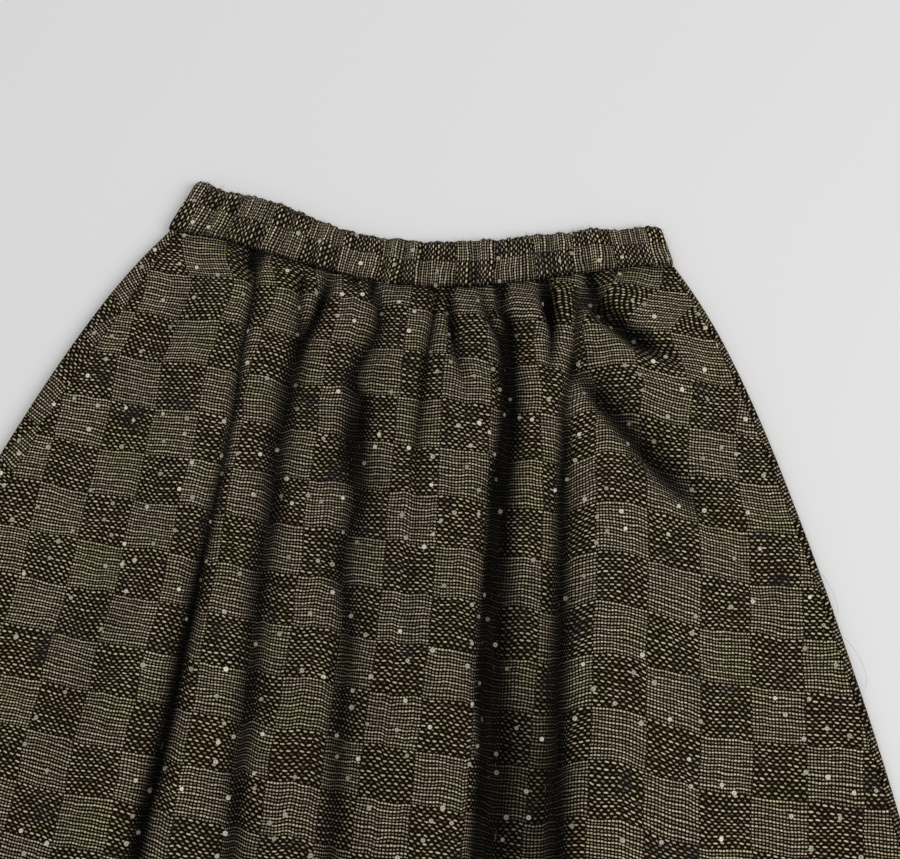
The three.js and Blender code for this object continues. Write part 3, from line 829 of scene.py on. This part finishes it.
class Nodes:
    """Short calls for the shader nodes of one material."""

    def __init__(self, material):
        material.use_nodes = True
        self.tree = material.node_tree
        self.tree.nodes.clear()

    def add(self, kind, **values):
        node = self.tree.nodes.new(kind)
        for key, value in values.items():
            setattr(node, key, value)
        return node

    def feed(self, socket, value):
        if isinstance(value, bpy.types.NodeSocket):
            self.tree.links.new(value, socket)
        elif value is not None:
            socket.default_value = value

    def math(self, operation, a, b=None, clamp=False):
        node = self.add("ShaderNodeMath", operation=operation, use_clamp=clamp)
        for socket, value in zip(node.inputs, (a, b)):
            self.feed(socket, value)
        return node.outputs[0]

    def plus(self, a, b):
        return self.math("ADD", a, b)

    def minus(self, a, b):
        return self.math("SUBTRACT", a, b)

    def times(self, a, b):
        return self.math("MULTIPLY", a, b)

    def floor(self, a):
        return self.math("FLOOR", a)

    def smooth(self, low, high, value, out_low=0.0, out_high=1.0):
        node = self.add("ShaderNodeMapRange", interpolation_type="SMOOTHSTEP")
        for socket, number in zip(node.inputs, (value, low, high, out_low, out_high)):
            self.feed(socket, number)
        return node.outputs[0]

    def mix(self, factor, a, b, kind="FLOAT", clamp=True):
        """Numbers mixed by factor."""
        node = self.add("ShaderNodeMix", data_type=kind, clamp_factor=clamp)
        for name, value in (("Factor", factor), ("A", a), ("B", b)):
            self.feed(next(s for s in node.inputs if s.name == name and s.enabled), value)
        return next(s for s in node.outputs if s.enabled)

    def blend(self, factor, a, b):
        """Colours mixed by factor, which may be over 1."""
        a, b = (tuple(end) + (1,) if not isinstance(end, bpy.types.NodeSocket) else end for end in (a, b))
        return self.mix(factor, a, b, kind="RGBA", clamp=False)

    def vector(self, x, y, z=0.0):
        node = self.add("ShaderNodeCombineXYZ")
        for socket, value in zip(node.inputs, (x, y, z)):
            self.feed(socket, value)
        return node.outputs[0]

    def noise(self, vector, scale, detail=2.0, roughness=0.5):
        node = self.add("ShaderNodeTexNoise", noise_dimensions="3D")
        self.feed(node.inputs["Vector"], vector)
        node.inputs["Scale"].default_value = scale
        node.inputs["Detail"].default_value = detail
        node.inputs["Roughness"].default_value = roughness
        return node.outputs["Fac"]

    def white(self, x, y, z=0.0):
        """An even random number for each place."""
        node = self.add("ShaderNodeTexWhiteNoise", noise_dimensions="3D")
        self.feed(node.inputs["Vector"], self.vector(x, y, z))
        return node.outputs["Value"]

    def place(self):
        return self.add("ShaderNodeTexCoord").outputs["Object"]

    def shaded(self, power, darkest, colour):
        """A colour with painted shade, darker where the cloth lies deep: mixed from darkest by the painted
        light attribute ** power.
        """
        painted_light = self.add("ShaderNodeAttribute", attribute_name="painted_light").outputs["Fac"]
        return self.blend(self.math("POWER", painted_light, power), darkest, colour)

    def finish(self, colour, roughness, specular=None):
        """The Principled shader of the material, fed to its output."""
        shader = self.add("ShaderNodeBsdfPrincipled")
        self.feed(shader.inputs["Base Color"], colour)
        self.feed(shader.inputs["Roughness"], roughness)
        self.feed(shader.inputs["Specular IOR Level"], specular)
        self.feed(self.add("ShaderNodeOutputMaterial").inputs["Surface"], shader.outputs[0])
        return shader


def tweed_material():
    """Boucle tweed: loops of cream thread on a dark ground, in a check of fine blocks and dashed blocks.

    With U and V counted in threads, block = floor(U / BLOCK) + floor(V / BLOCK). In an even block each cell
    holds a dot, bright where |du / a| ** 2.5 + |dv / b| ** 2.5 is small. In an odd one each pair of cells
    holds a dash, and every other row's dashes are moved by one thread. Every other row is dim.
    """
    weave = settings().weave
    material = bpy.data.materials.new("boucle tweed")
    n = Nodes(material)
    uv = n.add("ShaderNodeUVMap", uv_map="grain").outputs["UV"]
    split = n.add("ShaderNodeSeparateXYZ")
    n.feed(split.inputs[0], uv)
    flat_u, flat_v = split.outputs[:2]
    wander = n.noise(uv, 0.11, 3.0)
    wander_2 = n.noise(n.vector(n.plus(flat_u, 91.0), flat_v), 0.07, 2.0)
    u = n.plus(flat_u, n.times(n.minus(wander, 0.5), 1.6))
    v = n.plus(flat_v, n.times(n.minus(wander_2, 0.5), 3.4))

    # Where a place lies in its cell, in its pair of cells and in the check
    column, row = n.floor(u), n.floor(v)
    odd_row = n.math("FLOORED_MODULO", row, 2.0)
    block = n.plus(n.floor(n.math("DIVIDE", u, BLOCK)), n.floor(n.math("DIVIDE", v, BLOCK)))
    dashed = n.math("FLOORED_MODULO", block, 2.0)

    cell = n.white(column, row)
    cell_2 = n.white(column, row, 7.0)
    dv = n.minus(n.minus(v, row), 0.5)
    dv = n.plus(dv, n.times(n.minus(cell_2, 0.5), 0.14))
    du = n.minus(n.minus(u, column), 0.5)
    pair = n.math("DIVIDE", n.plus(u, odd_row), 2.0)
    pair_index = n.floor(pair)
    dash_u = n.times(n.minus(n.minus(pair, pair_index), 0.5), 2.0)
    dash_cell = n.white(pair_index, row, 3.0)
    cell_3 = n.white(pair_index, row, 5.0)

    def loop(du_socket, half_u, half_v, tilt=0.0):
        dv_here = n.minus(dv, n.times(du_socket, tilt))
        across = n.math("POWER", n.math("DIVIDE", n.math("ABSOLUTE", du_socket), half_u), 2.5)
        upward = n.math("POWER", n.math("DIVIDE", n.math("ABSOLUTE", dv_here), half_v), 2.5)
        return n.smooth(1.7, 0.35, n.plus(across, upward))

    # Dots and dashes, each with its own size and light
    dot = loop(du, n.mix(odd_row, 0.36, 0.31), n.mix(odd_row, 0.25, 0.2))
    dot_light = n.times(n.mix(odd_row, 1.0, 0.62), n.smooth(0.0, 1.0, cell, 0.6, 1.15))
    dash_half = n.plus(n.mix(odd_row, 0.42, 0.28), n.times(dash_cell, 0.22))
    dash = loop(dash_u, dash_half, n.mix(odd_row, 0.23, 0.2), 0.09)
    bright_dash = n.smooth(0.0, 1.0, dash_cell, 0.6, 1.15)
    dash_light = n.mix(odd_row, bright_dash, n.smooth(0.1, 1.0, cell_3, 0.18, 0.85))

    # Places where the loops are worn off the satin ground
    bare = n.noise(n.vector(flat_u, flat_v, 31.0), 0.085, 2.0)
    bare = n.smooth(0.57, 0.78, bare)
    dash_light = n.times(dash_light, n.mix(bare, 1.0, 0.3))
    dot_light = n.times(dot_light, n.mix(bare, 1.0, 0.75))
    shape = n.mix(dashed, dot, dash)
    light = n.mix(dashed, dot_light, dash_light)
    loops = n.math("MULTIPLY", shape, light, clamp=True)

    # Colours of thread, ground and fibres
    tone = n.noise(uv, 0.05, 2.0)
    thread = n.blend(n.smooth(0.45, 0.72, tone), weave.thread_colour, weave.thread_tint)
    ground_tone = n.noise(n.vector(flat_u, flat_v, 57.0), 0.035, 2.0)
    ground = n.blend(n.smooth(0.38, 0.66, ground_tone), weave.ground_colour, weave.ground_tint)
    glossy = n.times(bare, dashed)
    ground = n.blend(glossy, ground, weave.satin_colour)
    fibre = n.noise(n.vector(n.times(flat_u, 0.6), flat_v), 3.1, 3.0)
    ground = n.blend(n.smooth(0.45, 0.8, fibre, 0.0, 0.55), ground, weave.fibre_colour)
    colour = n.blend(loops, ground, thread)
    # Painted shade: the colour goes towards near black where the cloth lies deep
    colour = n.shaded(4.0, (0.001, 0.001, 0.001), colour)

    shader = n.finish(colour, n.mix(glossy, 0.95, 0.6), 0.04)
    bump = n.add("ShaderNodeBump")
    bump.inputs["Strength"].default_value = 0.6
    bump.inputs["Distance"].default_value = 0.0004
    n.feed(bump.inputs["Height"], n.plus(shape, n.times(fibre, 0.35)))
    n.feed(shader.inputs["Normal"], bump.outputs[0])
    return material


def sequin_material():
    """Pearly cream sequins, each a little lighter or darker by its place, and darker by painted shade where
    the cloth lies deep.
    """
    material = bpy.data.materials.new("pearly sequin")
    n = Nodes(material)
    tone = n.smooth(0.42, 0.68, n.noise(n.place(), 60.0, 1.0))
    # Painted shade on the sequins, as on the cloth under them
    colour = n.shaded(1.6, (0.004, 0.004, 0.004), n.blend(tone, (0.31, 0.285, 0.2), (0.74, 0.69, 0.52)))
    shader = n.finish(colour, n.smooth(0.3, 0.7, n.noise(n.place(), 900.0, 2.0), 0.28, 0.5))
    shader.inputs["Coat Weight"].default_value = 0.3
    return material


def fibre_material():
    """Loose fibres: dark brown, with paler stretches."""
    material = bpy.data.materials.new("loose fibre")
    n = Nodes(material)
    tone = n.smooth(0.4, 0.6, n.noise(n.place(), 220.0, 1.0))
    n.finish(n.blend(tone, (0.12, 0.1, 0.08), (0.4, 0.37, 0.31)), 0.7)
    return material


def stage_material(colour):
    """Matt paper with a very faint mottle."""
    material = bpy.data.materials.new("studio floor")
    n = Nodes(material)
    dark = [part * 0.985 for part in colour]
    n.finish(n.blend(n.noise(n.place(), 3.0, 2.0), dark, colour), 0.95, 0.1)
    return material


def material_named(name, make):
    return bpy.data.materials.get(name) or make()


def spread(places, count):
    """Picks count of the places, each the farthest of the next four from those picked, up to SEQUIN_ROOM."""
    picked = np.zeros((count, 3))
    chosen = np.zeros(count, int)
    for k in range(count):
        tries = np.arange(4 * k, 4 * k + 4)
        gaps = np.linalg.norm(places[tries][:, None] - picked[None, :max(k, 1)], axis=2).min(axis=1)
        chosen[k] = tries[np.argmax(np.minimum(gaps, SEQUIN_ROOM * MM))]
        picked[k] = places[chosen[k]]
    return chosen


def frames_on(grid, count, random):
    """Places spread by area over a grid, with a unit normal, two unit tangents and the share of light left by
    painted shade at each.
    """
    outer = grid[..., :3]
    a, b, c, d = outer[:-1, :-1], outer[1:, :-1], outer[1:, 1:], outer[:-1, 1:]
    normal = np.cross(c - a, d - b)
    area = np.linalg.norm(normal, axis=-1)
    pick = random.choice(area.size, count, p=(area / area.sum()).ravel())
    i, j = np.unravel_index(pick, area.shape)
    s, t = random.random((2, count, 1))
    place = lerp(lerp(a[i, j], d[i, j], s), lerp(b[i, j], c[i, j], s), t)
    up = normal[i, j] / area[i, j][:, None]
    along = d[i, j] - a[i, j]
    along -= up * np.sum(along * up, axis=1, keepdims=True)
    along /= np.linalg.norm(along, axis=1, keepdims=True)
    return place, up, along, np.cross(up, along), grid[i, j, 3]


def washer_rings(sides):
    """Rings of one sequin, as (radius, height) shares: round a flat ring with a hole, faces out."""
    angle = np.linspace(0, 2 * np.pi, sides, endpoint=False)
    rings = ((0.15, 0.0), (0.2, 0.5), (0.68, 0.34), (1.0, 0.5), (0.98, 0.0))
    return np.array([[(r * np.cos(a), r * np.sin(a), z) for a in angle] for r, z in rings])


def build_sequins(name, grid, count, seed, material):
    """Many cupped washers in one mesh: each is the same rings, scaled, tilted and set on the cloth."""
    sides = 12
    random = np.random.default_rng(seed)
    place, up, along, aside, painted_light = frames_on(grid, 4 * count, random)
    chosen = spread(place, count)
    place, up, along, aside = place[chosen], up[chosen], along[chosen], aside[chosen]
    rings = washer_rings(sides)
    radius = settings().sequins.diameter / 2 * random.uniform(0.84, 1.12, count)
    tilt, lean = random.normal(0, 0.16, (2, count, 1))
    up = up + along * tilt + aside * lean
    up /= np.linalg.norm(up, axis=1, keepdims=True)
    along = along - up * np.sum(along * up, axis=1, keepdims=True)
    along /= np.linalg.norm(along, axis=1, keepdims=True)
    aside = np.cross(up, along)
    flat = rings[None, :, :, 0:1] * along[:, None, None] + rings[None, :, :, 1:2] * aside[:, None, None]
    points = place[:, None, None] + flat * radius[:, None, None, None]
    points = points + up[:, None, None] * (rings[None, :, :, 2:3] * SEQUIN_HEIGHT + SEQUIN_LIFT) * MM
    index = np.arange(len(rings) * sides).reshape(len(rings), sides)
    below = np.roll(index, -1, axis=0)
    faces = np.stack([index, below, np.roll(below, -1, axis=1), np.roll(index, -1, axis=1)], axis=-1)
    starts = np.arange(count)[:, None, None] * index.size
    all_faces = (faces.reshape(1, -1, 4) + starts).reshape(-1, 4)
    # Each sequin takes the painted shade of the cloth under it
    painted_light = np.repeat(painted_light[chosen], index.size)
    piece = new_piece(name, points.reshape(-1, 3), all_faces, False, painted_light=painted_light, material=material)
    return piece


def tubes(paths, radius):
    """Closed three-sided tubes along paths, an array of fibres by points, tapered to their tips."""
    count, length = paths.shape[:2]
    direction = np.gradient(paths, axis=1)
    direction /= np.linalg.norm(direction, axis=-1, keepdims=True)
    side = np.cross(direction, np.array([0.31, 0.17, 0.93]))
    side /= np.linalg.norm(side, axis=-1, keepdims=True)
    other = np.cross(direction, side)
    taper = np.interp(np.linspace(0, 1, length), (0, 0.15, 0.75, 1), (0.6, 1, 0.9, 0.35))[None, :, None, None]
    angle = (np.arange(3) * 2 * np.pi / 3)[:, None]
    ring = np.cos(angle) * side[:, :, None] + np.sin(angle) * other[:, :, None]
    points = paths[:, :, None] + ring * radius * taper
    k = np.arange(3)
    k1 = (k + 1) % 3
    rows = np.arange(length - 1)[:, None] * 3
    low = np.stack([rows + k, rows + k1, rows + 3 + k1], axis=-1).reshape(-1, 3)
    high = np.stack([rows + k, rows + 3 + k1, rows + 3 + k], axis=-1).reshape(-1, 3)
    last = (length - 1) * 3
    ends = np.array([[0, 2, 1], [last, last + 1, last + 2]])
    starts = np.arange(count)[:, None, None] * length * 3
    triangles = np.concatenate([low, high, ends])
    return points.reshape(-1, 3), (triangles[None] + starts).reshape(-1, 3)


def fuzz_paths(grid, count, random):
    """Short curling fibres: p(t) = p + L * (t * d + t ** 2 * c), d being out of the cloth and along it."""
    place, up, along, aside, _ = frames_on(grid, count, random)
    length = random.uniform(*FIBRE_LENGTH, (count, 1))
    heading = random.uniform(0, 2 * np.pi, (count, 1))
    outward = random.uniform(0.25, 0.8, (count, 1))
    direction = up * outward + (along * np.cos(heading) + aside * np.sin(heading)) * np.sqrt(1 - outward ** 2)
    curl = along * random.normal(0, 0.4, (count, 1)) + aside * random.normal(0, 0.4, (count, 1)) - up * 0.2
    t = np.linspace(0, 1, 5)[None, :, None]
    paths = place[:, None] + length[:, None] * MM * (t * direction[:, None] + t * t * curl[:, None])
    paths[..., 2] = np.maximum(paths[..., 2], FIBRE_LOWEST * MM)
    return paths


def stray_path(table):
    """A loose fibre over its listed points: each coordinate is a cubic through the four of them."""
    given = np.linspace(0, 1, len(table["x"]))
    t = np.linspace(0, 1, 24)
    x, down, z = (np.polyval(np.polyfit(given, table[key], 3), t) for key in ("x", "down", "height"))
    return to_points(x, down, z)


def build_fibres(name, grids, strays, seed, material):
    """Fuzz over grids, each with its share of the fibres, and long stray fibres, in one mesh."""
    random = np.random.default_rng(seed)
    count = settings().fuzz.count
    made = [tubes(fuzz_paths(grid, int(count * share), random), FIBRE_RADIUS * MM) for grid, share in grids]
    made += [tubes(stray_path(table)[None], STRAY_RADIUS * MM) for table in strays]
    starts = np.cumsum([0] + [len(points) for points, _ in made[:-1]])
    points = np.concatenate([points for points, _ in made])
    faces = np.concatenate([faces + start for (_, faces), start in zip(made, starts)])
    piece = new_piece(name, points, faces, True, material=material)


def colour_setting(name, description, default):
    return bpy.props.FloatVectorProperty(
        name=name, description=description, default=default, min=0, max=1, subtype="COLOR")


def angle_setting(name, description, degrees):
    return bpy.props.FloatProperty(
        name=name, description=description, default=math.radians(degrees), subtype="ANGLE", unit="ROTATION")


class WeaveSettings(bpy.types.PropertyGroup):
    column_pitch: bpy.props.FloatProperty(
        name="Column pitch", description="Distance between threads across the cloth",
        default=0.00195, min=0.0005, max=0.01, unit="LENGTH", precision=5)
    row_pitch: bpy.props.FloatProperty(
        name="Row pitch", description="Distance between threads down the cloth",
        default=0.0019, min=0.0005, max=0.01, unit="LENGTH", precision=5)
    band_gather: bpy.props.FloatProperty(
        name="Band gather", description="How much closer the threads lie along the gathered waistband",
        default=0.16, min=0.0, max=0.8, subtype="FACTOR")
    thread_colour: colour_setting("Thread", "Cream thread of the dots and dashes", (0.63, 0.527, 0.376))
    thread_tint: colour_setting("Thread tint", "Yellowish thread in patches", (0.575, 0.522, 0.31))
    ground_colour: colour_setting("Ground", "Near-black brown ground", (0.0065, 0.0034, 0.0007))
    ground_tint: colour_setting("Ground tint", "Greenish ground in patches", (0.0045, 0.0038, 0.0009))
    satin_colour: colour_setting("Satin", "Black satin thread in bare places", (0.0055, 0.0042, 0.006))
    fibre_colour: colour_setting("Fibre", "Brown fibres in the ground", (0.045, 0.029, 0.012))


class SequinSettings(bpy.types.PropertyGroup):
    diameter: bpy.props.FloatProperty(
        name="Diameter", description="Width of a sequin",
        default=0.0027, min=0.001, max=0.02, unit="LENGTH", precision=4)
    panel_count: bpy.props.IntProperty(
        name="On the front", description="How many sequins are sewn on the front panel",
        default=720, min=0, max=3000)
    band_count: bpy.props.IntProperty(
        name="On the waistband", description="How many show on the front half of the waistband",
        default=20, min=0, max=200)
    strip_count: bpy.props.IntProperty(
        name="On the back", description="How many show where the back's left edge rolls over onto the front",
        default=22, min=0, max=200)


class FuzzSettings(bpy.types.PropertyGroup):
    count: bpy.props.IntProperty(
        name="Fibres", description="How many short fibres stand out of the cloth",
        default=3600, min=0, max=7000)


class StageSettings(bpy.types.PropertyGroup):
    elevation: angle_setting("Elevation", "How steeply the camera looks down", 73.3)
    azimuth: angle_setting("Azimuth", "How far the camera is turned round the skirt", 12.54)
    roll: angle_setting("Roll", "How far the camera is turned about its own axis", 7.4)
    place: bpy.props.FloatVectorProperty(
        name="Camera", description="Where the camera stands", default=(0.0786, 0.0092, 0.7224),
        subtype="TRANSLATION", unit="LENGTH")
    lens: bpy.props.FloatProperty(
        name="Lens", description="Focal length on a 36 mm sensor", default=48.25, unit="CAMERA")
    floor_colour: colour_setting("Floor", "Pale studio paper", (0.8, 0.79, 0.785))


class SkirtSettings(bpy.types.PropertyGroup):
    weave: bpy.props.PointerProperty(type=WeaveSettings, name="Weave", description="Threads and colours")
    sequins: bpy.props.PointerProperty(type=SequinSettings, name="Sequins", description="Size and number")
    fuzz: bpy.props.PointerProperty(type=FuzzSettings, name="Fuzz", description="Loose fibres")
    stage: bpy.props.PointerProperty(type=StageSettings, name="Stage", description="Camera and floor")


# x, y, z and share of light left by painted shade of each cloth's outer points, which later pieces are set on
SURFACES = {}


def put_for(node, made):
    """Lets a piece of cloth stand for a node, and keeps its outer points under that node's name."""
    piece, SURFACES[node] = made
    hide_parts(node)


class SKIRT_OT_front(bpy.types.Operator):
    """Make the front panel, with its folds, gathers and tucks"""
    bl_idname = "skirt.front_panel"
    bl_label = "Front panel"

    def execute(self, context):
        put_for("front_panel", build_front(material_named("boucle tweed", tweed_material)))
        return {"FINISHED"}


class SKIRT_OT_back(bpy.types.Operator):
    """Make the back panel, whose edges roll over onto the front"""
    bl_idname = "skirt.back_panel"
    bl_label = "Back panel"

    def execute(self, context):
        put_for("back_panel", build_back(material_named("boucle tweed", tweed_material)))
        return {"FINISHED"}


class SKIRT_OT_waistband(bpy.types.Operator):
    """Make both halves of the gathered waistband"""
    bl_idname = "skirt.waistband"
    bl_label = "Waistband"

    def execute(self, context):
        tweed = material_named("boucle tweed", tweed_material)
        halves = (
            ("waistband_front", BAND_FRONT_LEVEL, BAND_SIDE_LEVEL + SEAM_GAP / 2, front_rise),
            ("waistband_back", HALF_BAND, BAND_SIDE_LEVEL - SEAM_GAP / 2, back_rise),
        )
        for node, level, side_level, rise in halves:
            front = node == "waistband_front"
            put_for(node, build_band(f"{node}_cloth", level, side_level, rise, front, tweed))
        return {"FINISHED"}


class SKIRT_OT_sequins(bpy.types.Operator):
    """Sew sequins on the panels and the waistband"""
    bl_idname = "skirt.sequins"
    bl_label = "Sequins"

    def execute(self, context):
        pearly = material_named("pearly sequin", sequin_material)
        counts = settings().sequins
        left_strip = SURFACES["back_panel"][:, -9:]
        build_sequins("sequins_front", SURFACES["front_panel"], counts.panel_count, 11, pearly)
        build_sequins("sequins_band", SURFACES["waistband_front"], counts.band_count, 5, pearly)
        build_sequins("sequins_back", left_strip, counts.strip_count, 17, pearly)
        return {"FINISHED"}


class SKIRT_OT_fibres(bpy.types.Operator):
    """Let fine fibres stand out of the cloth, most of them along the waistband's top fold"""
    bl_idname = "skirt.fibres"
    bl_label = "Loose fibres"

    def execute(self, context):
        material = material_named("loose fibre", fibre_material)
        front, band, back = (SURFACES[node] for node in ("front_panel", "waistband_front", "back_panel"))
        top_fold, left_roll, right_roll = band[:7], back[:, -18:], back[:, :16]
        build_fibres("loose_fibres_front", ((front, 0.42),), (), 23, material)
        build_fibres("loose_fibres_band", ((band, 0.2), (top_fold, 0.28)), (), 29, material)
        build_fibres("loose_fibres_back", ((left_roll, 0.06), (right_roll, 0.04)), STRAYS, 31, material)
        return {"FINISHED"}


class SKIRT_OT_cloth(bpy.types.Operator):
    """An empty step: it makes and states nothing, and only finishes"""
    bl_idname = "skirt.cloth"
    bl_label = "State the cloth"

    def execute(self, context):
        return {"FINISHED"}


class SKIRT_OT_stage(bpy.types.Operator):
    """Make the floor, the lights and the camera"""
    bl_idname = "skirt.stage"
    bl_label = "Stage"

    def execute(self, context):
        context.scene.view_settings.view_transform = "Standard"
        build_floor()
        build_light()
        build_camera()
        return {"FINISHED"}


def build_floor():
    """A square of FLOOR_REACH each way, a hair below the skirt."""
    mesh = bpy.data.meshes.new("floor")
    sides = ((-1, -1), (1, -1), (1, 1), (-1, 1))
    mesh.from_pydata([(a * FLOOR_REACH, b * FLOOR_REACH, FLOOR_LEVEL) for a, b in sides], [], [(0, 1, 2, 3)])
    mesh.materials.append(stage_material(settings().stage.floor_colour))
    floor = bpy.data.objects.new("floor", mesh)
    bpy.context.scene.collection.objects.link(floor)


def build_light():
    """An even pale sky and two square lamps that face the skirt."""
    world = bpy.data.worlds.new("studio")
    world.use_nodes = True
    sky = world.node_tree.nodes["Background"]
    sky.inputs["Color"].default_value = SKY_COLOUR
    sky.inputs["Strength"].default_value = SKY_STRENGTH
    bpy.context.scene.world = world
    for name, lamp_settings in LAMPS.items():
        data = bpy.data.lights.new(name, "AREA")
        data.size = lamp_settings["size"]
        data.energy = lamp_settings["power"]
        lamp = bpy.data.objects.new(name, data)
        lamp.location = lamp_settings["place"]
        lamp.rotation_euler = (-lamp.location).to_track_quat("-Z", "Y").to_euler()
        bpy.context.scene.collection.objects.link(lamp)


def build_camera():
    """A camera that looks down at the skirt: turned by its azimuth, tilted by its elevation, then rolled."""
    stage, scene = settings().stage, bpy.context.scene
    heading = Vector((-math.sin(stage.azimuth), math.cos(stage.azimuth), 0))
    forward = heading * math.cos(stage.elevation) - Vector((0, 0, math.sin(stage.elevation)))
    right = forward.cross(Vector((0, 0, 1))).normalized()
    up = right.cross(forward)
    turned_right = right * math.cos(stage.roll) - up * math.sin(stage.roll)
    turned_up = right * math.sin(stage.roll) + up * math.cos(stage.roll)
    data = bpy.data.cameras.new("camera")
    data.lens = stage.lens
    data.sensor_width = SENSOR_WIDTH
    camera = bpy.data.objects.new("camera", data)
    axes = Matrix((turned_right, turned_up, -forward)).transposed().to_4x4()
    camera.matrix_world = Matrix.Translation(stage.place) @ axes
    scene.collection.objects.link(camera)
    scene.camera = camera


class SKIRT_PT_panel(bpy.types.Panel):
    """Lists the skirt's settings and pieces"""
    bl_idname = "SKIRT_PT_panel"
    bl_label = "Midi skirt"
    bl_space_type = "VIEW_3D"
    bl_region_type = "UI"
    bl_category = "Skirt"

    def draw(self, context):
        for group in (settings().weave, settings().sequins, settings().fuzz, settings().stage):
            box = self.layout.box()
            for key in group.__annotations__:
                box.prop(group, key)
        for operator in OPERATORS:
            self.layout.operator(operator.bl_idname)


GROUPS = (WeaveSettings, SequinSettings, FuzzSettings, StageSettings, SkirtSettings)
OPERATORS = (
    SKIRT_OT_stage, SKIRT_OT_front, SKIRT_OT_back, SKIRT_OT_waistband, SKIRT_OT_sequins, SKIRT_OT_fibres,
    SKIRT_OT_cloth,
)


def register():
    for kind in (*GROUPS, *OPERATORS, SKIRT_PT_panel):
        bpy.utils.register_class(kind)
    bpy.types.Scene.midi_skirt = bpy.props.PointerProperty(type=SkirtSettings)


def unregister():
    del bpy.types.Scene.midi_skirt
    for kind in reversed((*GROUPS, *OPERATORS, SKIRT_PT_panel)):
        bpy.utils.unregister_class(kind)


def main():
    register()
    for operator in OPERATORS:
        group, name = operator.bl_idname.split(".")
        getattr(getattr(bpy.ops, group), name)()


if __name__ == "__main__":
    main()
